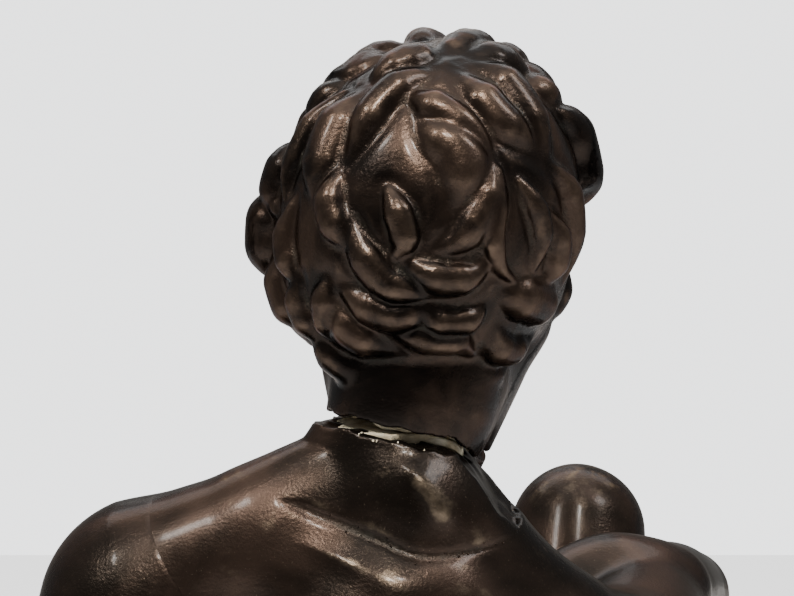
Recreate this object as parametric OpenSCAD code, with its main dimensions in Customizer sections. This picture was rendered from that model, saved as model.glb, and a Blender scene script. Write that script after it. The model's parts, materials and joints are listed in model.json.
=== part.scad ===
// Seated bronze youth on a rock, cast in sections and pinned together, on a stone plinth.
// Millimetres, +Z up, figure facing -Y, origin at the middle of the underside.
// Body landmarks are given in centimetres of a life-size figure and scaled by figure_scale.

/* [Figure] */
// Millimetres of bronze for each centimetre of a life-size figure
figure_scale = 2.13; // [1.75:0.01:2.6]
// Gap between two cast sections where they meet
seam_gap = 0.2; // [0.1:0.05:0.4]
// Gap between plaster core and bronze
core_gap = 0.15; // [0.1:0.05:0.3]

/* [Head] */
// Width of the head with its hair
hair_w = 43.6; // [36:0.2:50]
// Height of the hair mass from nape to crown
hair_h = 48.6; // [40:0.2:60]
// Depth of the head from brow to back of hair
hair_d = 43.6; // [36:0.2:54]
// Turn of the face towards the right shoulder
head_turn = 16; // [0:1:30]
// Radius of the neck
neck_r = 11.3; // [10.8:0.1:13.6]
// Radius of the plaster in the neck
neck_core_r = 9.2; // [7:0.1:9.4]
// Width of the open break in the neck
crack_gap = 1.2; // [0.8:0.1:2.5]
// Sideways tilt of the break
crack_tilt = 16; // [5:1:25]

/* [Neck rod] */
// Diameter of the iron rod through the neck
rod_d = 5; // [4:0.1:6.4]
// Radial clearance of the rod in the head's core
rod_clear = 0.08; // [0.05:0.01:0.1]
// Length of rod standing in the torso
rod_below = 26; // [20:1:34]
// Length of rod standing in the head
rod_above = 22; // [16:1:28]

/* [Limb joints] */
// Diameter of the studs that carry the limbs
stud_d = 4; // [3:0.1:5]
// Half length of a stud, in each of its two pieces
stud_half = 7; // [5:0.5:8.5]
// Radial clearance of a stud in its hole
stud_clear = 0.06; // [0.03:0.01:0.1]
// Diameter of the cross pins that lock the studs
pin_d = 1.4; // [1:0.1:1.8]
// Distance of a cross pin from the joint face
pin_out = 4; // [3:0.5:5]
// Length of a cross pin
pin_len = 9; // [7:0.5:11]

/* [Rock] */
// Height of the rock from the plinth to the seat level
rock_h = 15; // [12:0.5:20]
// Thickness of the rock's top wall
rock_top = 5; // [4:0.5:7]
// Thickness of the rock's side wall at its foot
rock_wall = 4; // [3:0.5:6]
// Margin of rock around the points that rest on it
rock_margin = 7; // [4:0.5:9]

/* [Fasteners] */
// Diameter of the studs that hold the figure on the rock
foot_stud_d = 4; // [3:0.1:5]
// Length of a figure stud inside the figure
foot_stud_up = 8; // [6:0.5:10]
// Distance across the flats of a figure nut
foot_nut_af = 7; // [6:0.5:9]
// Height of a figure nut
foot_nut_h = 3.2; // [2:0.2:4]
// Diameter of the tie rod through the plinth
tie_d = 6; // [5:0.5:8]
// Distance across the flats of the tie nut
tie_nut_af = 10; // [9:0.5:13]
// Height of the tie nut
tie_nut_h = 5; // [4:0.5:6]
// Diameter of the tie washer
tie_washer_d = 18; // [14:0.5:22]
// Thickness of the tie washer
tie_washer_t = 1.4; // [1:0.1:2]
// Radial clearance of threads and rods in plain holes
hole_clear = 0.25; // [0.1:0.05:0.5]

/* [Plinth] */
// Height of the stone plinth
plinth_h = 18; // [14:0.5:26]
// Margin of stone around the figure
plinth_margin = 12; // [8:0.5:20]
// Chamfer along the plinth's upper edge
plinth_chamfer = 2.5; // [1:0.25:4]
// Diameter of a cork pad
pad_d = 16; // [12:0.5:20]
// Thickness of a cork pad
pad_t = 1.6; // [1:0.1:2.5]
// Distance of a pad's centre from the plinth's sides
pad_inset = 16; // [12:0.5:24]

/* [Hidden] */

s = figure_scale;
body_fn = 20;
lock_fn = 12;
big = 400;

bronze = [0.21, 0.18, 0.14];
bronze_red = [0.27, 0.18, 0.13];
bronze_dark = [0.15, 0.14, 0.12];
plaster = [0.80, 0.76, 0.66];
iron = [0.32, 0.30, 0.29];
steel = [0.62, 0.62, 0.60];
marble = [0.14, 0.15, 0.14];
cork = [0.66, 0.50, 0.34];

// How far the figure reaches from its own origin, in life-size centimetres
reach_left = 40;
reach_right = 20;
reach_front = 47;
reach_back = 26;
plinth_w = (reach_left + reach_right) * s + 2 * plinth_margin;
plinth_d = (reach_front + reach_back) * s + 2 * plinth_margin;
figure_x = -(reach_left - reach_right) / 2 * s;
figure_y = (reach_front - reach_back) / 2 * s;
rock_z = pad_t + plinth_h;
figure_z = rock_z + rock_h;

// Landmarks: x towards the figure's left, y towards its back, z up from the seat, then a radius
nape = [4.2, 6.0, 54.6, 4.6];
trap_l = [12, 5, 53.6, 4.2];
shoulder_l = [20.3, 3.8, 49.5, 5.4];
trap_r = [-1.2, 4, 50.0, 4.6];
shoulder_r = [-7.8, 0.3, 43.4, 5.5];
chest_mid = [5.8, 5, 47, 9.0];
chest_low = [5.8, 4, 38, 9.3];
waist = [3.6, 3, 24, 7.8];
seat = [2.5, 0.6, 11, 9.3];
ribs_l = [14, 3, 43, 6.3];
ribs_low_l = [12, 3, 33, 6.3];
ribs_r = [-2.5, 1.5, 38, 6.2];
ribs_low_r = [-1, 1, 29, 6.2];
breast_l = [12, -1.0, 45, 5.6];
breast_r = [-1, -2.4, 40.5, 5.6];
belly = [4, -1.5, 22, 6.2];
hip_l = [9.5, 0.2, 10.2, 8.8];
hip_r = [-4.0, 1.0, 10.5, 8.8];

elbow_l = [26.8, 10.6, 23.8, 3.9];
wrist_l = [30, 11.5, 3.8, 2.5];
palm_l = [32.8, 15.6, 2.2, 2.3];
tips_l = [37.2, 23.0, 1.2, 1.0];

biceps_r = [-12.0, -10.5, 43.2, 4.5];
elbow_r = [-15.9, -22.5, 41.9, 3.2];
wrist_r = [-14.8, -25.8, 19.8, 2.5];
palm_r = [-12.8, -28.6, 15.2, 2.2];
tips_r = [-6.4, -29.6, 12.8, 1.1];

thigh_r = [-5.6, -10.0, 25.2, 7.5];
knee_r = [-7.9, -24.5, 45.6, 5.5];
calf_r = [-8.0, -23.0, 33, 5.3];
ankle_r = [-8.5, -24.6, 7.8, 3.1];
heel_r = [-8.5, -22.0, 2.8, 2.7];
ball_r = [-9.8, -38.0, 2.2, 2.3];
toes_r = [-10.4, -44.6, 1.5, 1.4];

thigh_l = [17.5, -15.5, 10.2, 7.6];
knee_l = [30, -34.5, 9, 5.5];
calf_l = [20, -29.0, 7.2, 5.2];
ankle_l = [0.5, -17.6, 4.0, 3.1];
heel_l = [2.6, -17.8, 3.0, 2.6];
ball_l = [-10.6, -12.6, 2.8, 2.2];
toes_l = [-16.6, -10.6, 2.3, 1.4];

neck_low = [4.4, 4.6, 53];
neck_high = [4.4, 2.6, 64];
skull = [4.2, 0.5, 70.9];
crack_at = [4.4, 4.2, 57.4];
rod_at = [4.4, 3.3, 57.4];

function mm(p) = [p[0] * s, p[1] * s, p[2] * s];
function span(a, b) = [b[0] - a[0], b[1] - a[1], b[2] - a[2]];
function unit(v) = v / norm(v);
function along(a, b, t) = a + (b - a) * t;

// Joint faces: a point on the face and the direction into the limb
shoulder_l_face = along(mm(trap_l), mm(shoulder_l), 0.62);
shoulder_l_way = unit([0.96, 0.05, -0.30]);
shoulder_r_face = along(mm(trap_r), mm(shoulder_r), 0.66);
shoulder_r_way = unit([-0.72, -0.42, -0.55]);
hip_l_way = unit(span(hip_l, knee_l));
hip_l_face = mm(hip_l) + hip_l_way * 3 * s;
hip_r_way = unit(span(hip_r, knee_r));
hip_r_face = mm(hip_r) + hip_r_way * 3 * s;

// Where the figure's own studs pass through the rock, in millimetres from the figure's origin
foot_studs = [mm([-1.6, 2.6, 0]), mm([8.6, 2.6, 0]), mm([-8.9, -30, 0]), mm([31.8, 14.2, 0])];

// Places of the two rivets that hold the drapery, and the way they point in
drape_rivet_at = [mm([14.6, -13.8, 19.6]), mm([23.2, -11.2, 15.7])];
drape_rivet_way = [[0, 0, -1], unit([-0.6, -0.45, -0.66])];
rivet_d = 1.8;
rivet_len = 8;

module at_figure() {
  translate([figure_x, figure_y, figure_z]) children();
}

// Turns a thing that stands along +Z so that it points along the given way
module pointing(at, way) {
  translate(at)
    rotate([0, acos(way[2]), atan2(way[1], way[0])])
      children();
}

// Everything beyond a face, on the side that the given way points to
module beyond(at, way) {
  pointing(at, way) translate([-big / 2, -big / 2, 0]) cube(big);
}

module ball(p, grow = 0, fn = body_fn) {
  translate(mm(p)) sphere(r = p[3] * s + grow, $fn = fn);
}

// A run of flesh through landmark balls
module limb(balls, grow = 0, fn = body_fn) {
  for (i = [0 : len(balls) - 2])
    hull() {
      ball(balls[i], grow, fn);
      ball(balls[i + 1], grow, fn);
    }
}

module left_arm_form(grow = 0) {
  limb([shoulder_l, elbow_l, wrist_l, palm_l], grow);
  for (finger = [-1.5 : 1 : 1.5])
    limb([palm_l, tips_l + [finger * 1.5, -finger * 0.8 - abs(finger) * 0.7, 0, 0]], grow, lock_fn);
  limb([wrist_l, [29.2, 18.4, 1.6, 1.1]], grow, lock_fn);
}

module right_arm_form(grow = 0) {
  limb([shoulder_r, biceps_r, elbow_r, wrist_r, palm_r], grow);
  for (finger = [-1.5 : 1 : 1.5])
    limb([palm_r, tips_r + [abs(finger) * -0.6, 0, finger * 1.6, 0]], grow, lock_fn);
  limb([wrist_r, [-10.4, -29.4, 19.6, 1.1]], grow, lock_fn);
}

module right_leg_form(grow = 0) {
  limb([hip_r, thigh_r, knee_r, calf_r, ankle_r, heel_r], grow);
  limb([ankle_r, ball_r], grow);
  limb([heel_r, ball_r], grow);
  for (toe = [-1.5 : 1 : 1.5])
    limb([ball_r, toes_r + [toe * 1.5, -abs(toe) * -0.5, 0, 0]], grow, lock_fn);
}

module left_leg_form(grow = 0) {
  limb([hip_l, thigh_l, knee_l, calf_l, ankle_l, heel_l], grow);
  limb([ankle_l, ball_l], grow);
  limb([heel_l, ball_l], grow);
  for (toe = [-1.5 : 1 : 1.5])
    limb([ball_l, toes_l + [0.4 * toe, 1.2 * toe, 0, 0]], grow, lock_fn);
}

module torso_form(grow = 0) {
  limb([nape, trap_l, shoulder_l], grow);
  limb([nape, trap_r, shoulder_r], grow);
  limb([chest_mid, chest_low, waist, seat], grow);
  limb([hip_l, hip_r], grow);
  limb([trap_l, ribs_l, ribs_low_l, waist], grow);
  limb([trap_r, ribs_r, ribs_low_r, waist], grow);
  limb([breast_l, breast_r], grow);
  limb([chest_low, belly, seat], grow);
  neck_form(grow);
}

module neck_form(grow = 0) {
  hull() {
    translate(mm(neck_low)) sphere(r = neck_r + grow, $fn = 28);
    translate(mm(neck_high)) sphere(r = neck_r - 0.6 + grow, $fn = 28);
  }
}

// The plaster core of the torso, and the cavity it fills when grown by the core gap
core_chest = [5.4, 3.6, 42, 6.8];
core_pelvis = [5.4, 3.6, 23, 4.2];
core_top_z = 53.6;
module torso_core_form(grow = 0) {
  limb([core_chest, core_pelvis], grow, 28);
  translate([rod_at[0] * s, rod_at[1] * s, core_chest[2] * s - grow])
    cylinder(r = neck_core_r + grow, h = (core_top_z - core_chest[2]) * s + grow, $fn = 64);
}

// The neck passage is open from the torso's core up through the break
neck_open_z = core_top_z * s;
module neck_passage(top) {
  translate([rod_at[0] * s, rod_at[1] * s, neck_open_z - 1])
    cylinder(r = neck_core_r + core_gap, h = top - neck_open_z + 1, $fn = 64);
}

neck_fill_top = (crack_at[2] + 0.4) * s;
head_core_h = 14 * s;

module head_core_form(grow = 0) {
  translate([rod_at[0] * s, rod_at[1] * s, neck_fill_top - (grow > 0 ? 4 : 0)])
    cylinder(r = neck_core_r + grow, h = (skull[2] - rod_at[2]) * s, $fn = 64);
  translate(mm(skull))
    sphere(r = hair_w / 2 - 5.2 + grow, $fn = 48);
}

// One lock of hair: two balls on the hair mass, the second a little further round
module lock(lon, lat, turn, size, reach) {
  hull()
    for (step = [0, 1])
      hair_ball(lon + step * reach * sin(turn), lat - step * reach * cos(turn), size * (1 - 0.25 * step));
}

module hair_ball(lon, lat, size) {
  way = [sin(lon) * cos(lat), cos(lon) * cos(lat), sin(lat)];
  translate([way[0] * (hair_w / 2 - size), way[1] * (hair_d / 2 - size), way[2] * (hair_h / 2 - size)])
    sphere(r = size, $fn = lock_fn);
}

module hair() {
  scale([(hair_w - 2.4) / hair_h, (hair_d - 2.4) / hair_h, 1]) sphere(d = hair_h - 2.4, $fn = body_fn);
  for (row = [0 : 5])
    for (i = [0 : rows_n(row) - 1])
      if (hair_here(row_lon(row, i), row_lat(row)))
        lock(row_lon(row, i), row_lat(row), 28 - 56 * ((i + row) % 2), 4.3, 24);
  lock(20, 84, 60, 4.6, 22);
}

function rows_n(row) = [9, 10, 10, 9, 8, 5][row];
function row_lat(row) = [-56, -34, -10, 14, 38, 62][row];
function row_lon(row, i) = (i + 0.5 * (row % 2)) * 360 / rows_n(row);
// The face is left free: it looks along 180 degrees
function hair_here(lon, lat) = lat > 30 || abs(lon - 180) > (lat < -50 ? 80 : 58);

module face() {
  // jaw, cheeks and brow
  hull() {
    translate([0, -5.2 * s, -3.2 * s]) sphere(r = 5.9 * s, $fn = body_fn);
    translate([0, -5.8 * s, -8.4 * s]) sphere(r = 3.2 * s, $fn = body_fn);
  }
  hull() {
    translate([-3.1 * s, -6.6 * s, 1.8 * s]) sphere(r = 3.2 * s, $fn = body_fn);
    translate([3.1 * s, -6.6 * s, 1.8 * s]) sphere(r = 3.2 * s, $fn = body_fn);
  }
  // nose
  hull() {
    translate([0, -9.7 * s, 0.8 * s]) sphere(r = 0.8 * s, $fn = lock_fn);
    translate([0, -11.2 * s, -3.0 * s]) sphere(r = 0.9 * s, $fn = lock_fn);
  }
  // lips and chin
  hull()
    for (side = [-1, 1])
      translate([side * 1.3 * s, -10.0 * s, -5.5 * s]) sphere(r = 0.9 * s, $fn = lock_fn);
  translate([0, -8.6 * s, -8.6 * s]) sphere(r = 1.8 * s, $fn = lock_fn);
  // ears
  for (side = [-1, 1])
    hull() {
      translate([side * 7.9 * s, -0.6 * s, 0.4 * s]) sphere(r = 1.2 * s, $fn = lock_fn);
      translate([side * 7.4 * s, -1.0 * s, -3.6 * s]) sphere(r = 0.9 * s, $fn = lock_fn);
    }
}

module head() {
  color(bronze_red)
    at_figure()
      difference() {
        union() {
          translate(mm(skull)) rotate([0, 0, -head_turn]) {
            hair();
            face();
          }
          intersection() {
            neck_form();
            crack_side(crack_gap / 2, 1);
          }
        }
        crack_side(crack_gap / 2, -1);
        head_core_form(core_gap);
      }
}

// The half of space above (+1) or below (-1) the break in the neck
module crack_side(gap, side) {
  translate(mm(crack_at))
    rotate([side > 0 ? 0 : 180, -crack_tilt, 0])
      translate([-big / 2, -big / 2, gap])
        cube(big);
}

module rod_hole(clear) {
  translate([rod_at[0] * s, rod_at[1] * s, rod_at[2] * s - rod_below - clear])
    cylinder(d = rod_d + 2 * clear, h = rod_below + rod_above + 2 * clear, $fn = 48);
}

module head_core() {
  color(plaster)
    at_figure()
      difference() {
        head_core_form();
        rod_hole(rod_clear);
      }
}

module neck_rod() {
  color(iron) at_figure() rod_hole(0);
}

module neck_plaster() {
  color(plaster)
    at_figure()
      difference() {
        translate([rod_at[0] * s, rod_at[1] * s, neck_open_z])
          cylinder(r = neck_core_r, h = neck_fill_top - neck_open_z, $fn = 64);
        rod_hole(rod_clear);
      }
}

module torso() {
  color(bronze)
    at_figure()
      difference() {
        torso_form();
        crack_side(crack_gap / 2, 1);
        torso_core_form(core_gap);
        neck_passage(neck_fill_top + 6 * s);
        limb_cut(shoulder_l_face, shoulder_l_way) left_arm_form(seam_gap);
        limb_cut(shoulder_r_face, shoulder_r_way) right_arm_form(seam_gap);
        limb_cut(hip_l_face, hip_l_way) left_leg_form(seam_gap);
        limb_cut(hip_r_face, hip_r_way) right_leg_form(seam_gap);
        joint_studs(stud_clear);
        figure_stud_set(hole_clear / 2);
        rivet_set(stud_clear);
      }
}

module limb_cut(at, way) {
  intersection() {
    beyond(at - way * seam_gap, way);
    children();
  }
}

module torso_core() {
  color(plaster)
    at_figure()
      difference() {
        torso_core_form();
        rod_hole(rod_clear);
      }
}

// A stud through a joint face, half in each piece
module stud(at, way, clear = 0) {
  pointing(at - way * (stud_half + clear), way)
    cylinder(d = stud_d + 2 * clear, h = 2 * (stud_half + clear), $fn = 40);
}

module joint_studs(clear = 0) {
  stud(shoulder_l_face, shoulder_l_way, clear);
  stud(shoulder_r_face, shoulder_r_way, clear);
  stud(hip_l_face, hip_l_way, clear);
  stud(hip_r_face, hip_r_way, clear);
}

// A cross pin through the limb and its stud, square to the stud
module cross_pin(at, way, clear = 0) {
  side = unit(cross(way, [0.3, 1, 0.2]));
  pointing(at + way * pin_out - side * (pin_len / 2 + clear), side)
    cylinder(d = pin_d + 2 * clear, h = pin_len + 2 * clear, $fn = 24);
}

module cross_pin_set(clear = 0) {
  cross_pin(shoulder_l_face, shoulder_l_way, clear);
  cross_pin(shoulder_r_face, shoulder_r_way, clear);
  cross_pin(hip_l_face, hip_l_way, clear);
  cross_pin(hip_r_face, hip_r_way, clear);
}

module pinned_stud(at, way) {
  color(iron)
    at_figure()
      difference() {
        stud(at, way);
        cross_pin(at, way, stud_clear);
      }
}

module left_shoulder_stud() {
  pinned_stud(shoulder_l_face, shoulder_l_way);
}

module right_shoulder_stud() {
  pinned_stud(shoulder_r_face, shoulder_r_way);
}

module left_hip_stud() {
  pinned_stud(hip_l_face, hip_l_way);
}

module right_hip_stud() {
  pinned_stud(hip_r_face, hip_r_way);
}

module cross_pins() {
  color(steel) at_figure() cross_pin_set();
}

module left_arm() {
  color(bronze)
    at_figure()
      difference() {
        intersection() {
          left_arm_form();
          beyond(shoulder_l_face, shoulder_l_way);
        }
        joint_studs(stud_clear);
        cross_pin_set(stud_clear);
        figure_stud_set(hole_clear / 2);
      }
}

module right_arm() {
  color(bronze)
    at_figure()
      difference() {
        intersection() {
          right_arm_form();
          beyond(shoulder_r_face, shoulder_r_way);
        }
        right_leg_form(seam_gap);
        joint_studs(stud_clear);
        cross_pin_set(stud_clear);
      }
}

module left_leg() {
  color(bronze)
    at_figure()
      difference() {
        intersection() {
          left_leg_form();
          beyond(hip_l_face, hip_l_way);
        }
        right_leg_form(seam_gap);
        joint_studs(stud_clear);
        cross_pin_set(stud_clear);
        rivet_set(stud_clear);
      }
}

module right_leg() {
  color(bronze)
    at_figure()
      difference() {
        intersection() {
          right_leg_form();
          beyond(hip_r_face, hip_r_way);
        }
        joint_studs(stud_clear);
        cross_pin_set(stud_clear);
        figure_stud_set(hole_clear / 2);
      }
}

// Cloth over the hips and lap, falling to the rock beside the left hip
cloth_lap = [[-0.6, -7.6, 17.6, 3.2], [2.4, -12.6, 15.4, 3.6], [9, -14.5, 16.6, 3.2], [17.4, -13.6, 15.6, 3.6],
             [24.6, -11, 9, 3.2], [25, -8, 3.4, 3.0]];
cloth_fold = [[7, -8.6, 18.4, 3.2], [15.0, -5.6, 17, 3.6], [19.4, -1, 10.5, 3.4], [22, 1.5, 4, 3.6], [16, 8.6, 3.6, 3.2]];
module drapery() {
  color(bronze_dark)
    at_figure()
      difference() {
        union() {
          limb(cloth_lap, 0, lock_fn);
          limb(cloth_fold, 0, lock_fn);
          for (i = [0 : 2])
            hull() {
              ball(cloth_lap[i + 1], 0, lock_fn);
              ball(cloth_lap[i + 2], 0, lock_fn);
              ball(cloth_fold[i], 0, lock_fn);
              ball(cloth_fold[i + 1], 0, lock_fn);
            }
        }
        torso_form(seam_gap);
        left_leg_form(seam_gap);
        right_leg_form(seam_gap);
        right_arm_form(seam_gap);
        rivet_set(stud_clear);
        below_seat();
      }
}

module below_seat() {
  translate([-big / 2, -big / 2, -big + 1.2 * s + seam_gap]) cube(big);
}

module rivet_set(clear = 0) {
  for (i = [0 : 1])
    pointing(drape_rivet_at[i] - drape_rivet_way[i] * clear, drape_rivet_way[i])
      cylinder(d = rivet_d + 2 * clear, h = rivet_len + 2 * clear, $fn = 24);
}

module drape_rivets() {
  color(iron) at_figure() rivet_set();
}

// Points that rest on the rock, which its outline runs around
rock_points = [[-10.4, -44, 0], [-17, -26, 0], [-17, -8, 0], [-12, 10, 0], [6, 16, 0], [28, 22, 0],
               [37, 22, 0], [35, 8, 0], [31, -20, 0], [32, -36, 0], [12, -42, 0]];

module rock_outline(shrink) {
  offset(delta = -shrink)
    hull()
      for (p = rock_points)
        translate([p[0] * s, p[1] * s]) circle(r = rock_margin, $fn = 10);
}

module boulder(x, y, z, r) {
  hull()
    for (turn = [0 : 2])
      translate([x * s, y * s, z * s])
        rotate([turn * 31, turn * 23, turn * 37])
          cube([r * 1.7, r * 1.4, r * 1.1] * s, center = true);
}

module rock_mass() {
  hull() {
    translate([0, 0, -rock_h]) linear_extrude(1) rock_outline(0);
    translate([0, 0, -rock_h * 0.45]) linear_extrude(rock_h * 0.45) rock_outline(3.5);
    translate([0, 0, -rock_h * 0.45]) linear_extrude(rock_h * 0.45 + 1.0 * s) rock_outline(9);
  }
  boulder(3, 3, -2.4, 6.6);
  boulder(11, -4, -3.2, 6.2);
  boulder(30, -33, -1.2, 4.6);
  boulder(20, -20, -2.4, 4.4);
  boulder(31, 14, -3.2, 5.0);
  boulder(-9, -30, -3.6, 5.2);
  boulder(-12, -8, -3.2, 5.0);
  boulder(6, -34, -3.4, 4.8);
}

tie_at = mm([7, -12, 0]);
boss_r = 8;
module rock_base() {
  color(bronze_dark)
    at_figure()
      difference() {
        intersection() {
          rock_mass();
          translate([-big / 2, -big / 2, -rock_h]) cube(big);
        }
        difference() {
          hull() {
            translate([0, 0, -rock_h - 1]) linear_extrude(1) rock_outline(rock_wall);
            translate([0, 0, -rock_top - 1]) linear_extrude(1) rock_outline(4 + rock_wall);
          }
          translate([tie_at[0], tie_at[1], -rock_h - 2]) cylinder(r = boss_r, h = rock_h + 2, $fn = 32);
        }
        torso_form(seam_gap);
        left_leg_form(seam_gap);
        right_leg_form(seam_gap);
        left_arm_form(seam_gap);
        figure_stud_set(hole_clear);
        tie_hole(hole_clear);
      }
}

stud_down = rock_top + foot_nut_h + 0.8;
module figure_stud_set(clear = 0) {
  for (at = foot_studs)
    translate([at[0], at[1], -stud_down])
      cylinder(d = foot_stud_d + 2 * clear, h = stud_down + foot_rise(at) + foot_stud_up, $fn = 40);
}

// The hand and foot are thin, so their studs stop lower than the seat's
function foot_rise(at) = at[1] > 5 * s || at[1] < -5 * s ? 3.2 * s - foot_stud_up : 3.4 * s;

module figure_studs() {
  color(steel) at_figure() figure_stud_set();
}

module hex_nut(af, h, hole) {
  difference() {
    cylinder(d = af / cos(30), h = h, $fn = 6);
    translate([0, 0, -1]) cylinder(d = hole, h = h + 2, $fn = 40);
  }
}

module figure_nuts() {
  color(steel)
    at_figure()
      for (at = foot_studs)
        translate([at[0], at[1], -rock_top - foot_nut_h])
          hex_nut(foot_nut_af, foot_nut_h, foot_stud_d + 2 * stud_clear);
}

recess_h = tie_nut_h + tie_washer_t + 2;
tie_up = 9;
module at_tie(z) {
  translate([figure_x + tie_at[0], figure_y + tie_at[1], z]) children();
}

module tie_hole(clear) {
  translate([tie_at[0], tie_at[1], -rock_h - 1])
    cylinder(d = tie_d + 2 * clear, h = 1 + tie_up + clear, $fn = 40);
}

module plinth() {
  color(marble)
    difference() {
      union() {
        translate([-plinth_w / 2, -plinth_d / 2, pad_t])
          cube([plinth_w, plinth_d, plinth_h - plinth_chamfer]);
        hull() {
          translate([-plinth_w / 2, -plinth_d / 2, rock_z - plinth_chamfer - 0.01])
            cube([plinth_w, plinth_d, 0.01]);
          translate([-plinth_w / 2 + plinth_chamfer, -plinth_d / 2 + plinth_chamfer, rock_z - 0.01])
            cube([plinth_w - 2 * plinth_chamfer, plinth_d - 2 * plinth_chamfer, 0.01]);
        }
      }
      at_tie(pad_t - 1) cylinder(d = tie_d + 2 * hole_clear, h = plinth_h + 2, $fn = 40);
      at_tie(pad_t - 1) cylinder(d = tie_washer_d + 3, h = recess_h + 1, $fn = 48);
    }
}

module tie_rod() {
  color(steel)
    at_tie(pad_t + 0.6)
      cylinder(d = tie_d, h = plinth_h - 0.6 + tie_up, $fn = 40);
}

module tie_washer() {
  color(steel)
    at_tie(pad_t + recess_h - tie_washer_t)
      difference() {
        cylinder(d = tie_washer_d, h = tie_washer_t, $fn = 48);
        translate([0, 0, -1]) cylinder(d = tie_d + 2 * hole_clear, h = tie_washer_t + 2, $fn = 40);
      }
}

module tie_nut() {
  color(steel)
    at_tie(pad_t + recess_h - tie_washer_t - tie_nut_h)
      hex_nut(tie_nut_af, tie_nut_h, tie_d + 2 * stud_clear);
}

module cork_pads() {
  color(cork)
    for (x = [-1, 1], y = [-1, 1])
      translate([x * (plinth_w / 2 - pad_inset), y * (plinth_d / 2 - pad_inset), 0])
        cylinder(d = pad_d, h = pad_t, $fn = 48);
}

head();
head_core();
neck_rod();
neck_plaster();
torso();
torso_core();
left_arm();
right_arm();
left_leg();
right_leg();
drapery();
left_shoulder_stud();
right_shoulder_stud();
left_hip_stud();
right_hip_stud();
cross_pins();
drape_rivets();
rock_base();
figure_studs();
figure_nuts();
plinth();
tie_rod();
tie_washer();
tie_nut();
cork_pads();
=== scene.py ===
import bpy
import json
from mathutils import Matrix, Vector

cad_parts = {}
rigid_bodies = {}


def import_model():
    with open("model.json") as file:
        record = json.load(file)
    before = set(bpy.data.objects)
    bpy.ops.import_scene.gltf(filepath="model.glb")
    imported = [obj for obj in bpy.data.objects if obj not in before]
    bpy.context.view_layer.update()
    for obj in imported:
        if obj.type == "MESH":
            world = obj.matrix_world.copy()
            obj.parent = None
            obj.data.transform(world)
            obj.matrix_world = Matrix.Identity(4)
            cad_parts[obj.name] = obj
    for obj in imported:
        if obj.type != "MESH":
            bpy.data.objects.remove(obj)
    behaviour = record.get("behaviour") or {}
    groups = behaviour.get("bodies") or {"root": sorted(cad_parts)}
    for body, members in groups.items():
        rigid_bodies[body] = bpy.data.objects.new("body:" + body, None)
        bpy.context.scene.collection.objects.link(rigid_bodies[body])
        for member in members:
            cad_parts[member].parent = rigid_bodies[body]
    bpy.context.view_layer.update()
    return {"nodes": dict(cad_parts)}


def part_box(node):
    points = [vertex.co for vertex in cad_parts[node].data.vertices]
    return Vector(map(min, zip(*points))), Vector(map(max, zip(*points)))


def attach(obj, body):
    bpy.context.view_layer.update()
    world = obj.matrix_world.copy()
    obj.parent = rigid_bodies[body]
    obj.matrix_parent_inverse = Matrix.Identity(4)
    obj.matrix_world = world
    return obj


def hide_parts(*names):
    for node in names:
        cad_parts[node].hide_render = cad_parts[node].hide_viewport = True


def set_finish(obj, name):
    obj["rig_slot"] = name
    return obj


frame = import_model()

import json
import math
import time
import bpy
import bmesh
import numpy as np
import openvdb
from mathutils import Matrix, Vector

startTime = time.time()


def report(stage):
    print("%5.1f s  %s" % (time.time() - startTime, stage))


def inScene(name, data):
    obj = bpy.data.objects.new(name, data)
    bpy.context.scene.collection.objects.link(obj)
    return obj


# ---- where the figure stands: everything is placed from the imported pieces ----
figure = {
    "rod": (4.4, 3.3),                            # the neck rod's x and y, in centimetres of life size
    "rodToTie": 15.3,                             # from the neck rod forward to the tie rod
    "plasterFoot": 53.6,                          # height at which the plaster in the neck starts
}


def middle(packed):
    low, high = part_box(packed)
    return (Vector(low) + Vector(high)) / 2


rodAt = middle("neck_rod")
tieAt = middle("tie_rod")
cm = (rodAt.y - tieAt.y) / figure["rodToTie"]     # one life-size centimetre, in metres of bronze
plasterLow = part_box("neck_plaster")[0][2]
figureAt = Vector((rodAt.x - figure["rod"][0] * cm, rodAt.y - figure["rod"][1] * cm,
                   plasterLow - figure["plasterFoot"] * cm))


def place(x, y, z):
    return figureAt + Vector((x, y, z)) * cm


# ---- camera ----
camera = {
    "look": (5.92, 0.47, 66.53),                  # what it looks at, in figure centimetres
    "distance": 0.200,
    "height": 6.0,                                # degrees above the horizon
    "lens": 71.4,
    "sensor": 36,
    "clip": (0.005, 20),
}


def addCamera(c):
    data = bpy.data.cameras.new("camera")
    data.lens = c["lens"]
    data.sensor_width = c["sensor"]
    data.clip_start, data.clip_end = c["clip"]
    eye = inScene("camera", data)
    aim = place(*c["look"])
    tilt = math.radians(c["height"])
    eye.location = aim + Vector((0, math.cos(tilt), math.sin(tilt))) * c["distance"]
    eye.rotation_euler = (aim - eye.location).to_track_quat("-Z", "Y").to_euler()
    bpy.context.scene.camera = eye


addCamera(camera)


# ---- forms: distance fields in figure centimetres, turned into meshes with openvdb ----
coarse = 1.0               # a quick try works on a coarser grid


def melt(a, b, soft):
    h = np.clip(0.5 + 0.5 * (b - a) / soft, 0, 1)
    return b + (a - b) * h - soft * h * (1 - h)


def carve(a, b, soft):
    return -melt(-a, b, soft)


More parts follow.
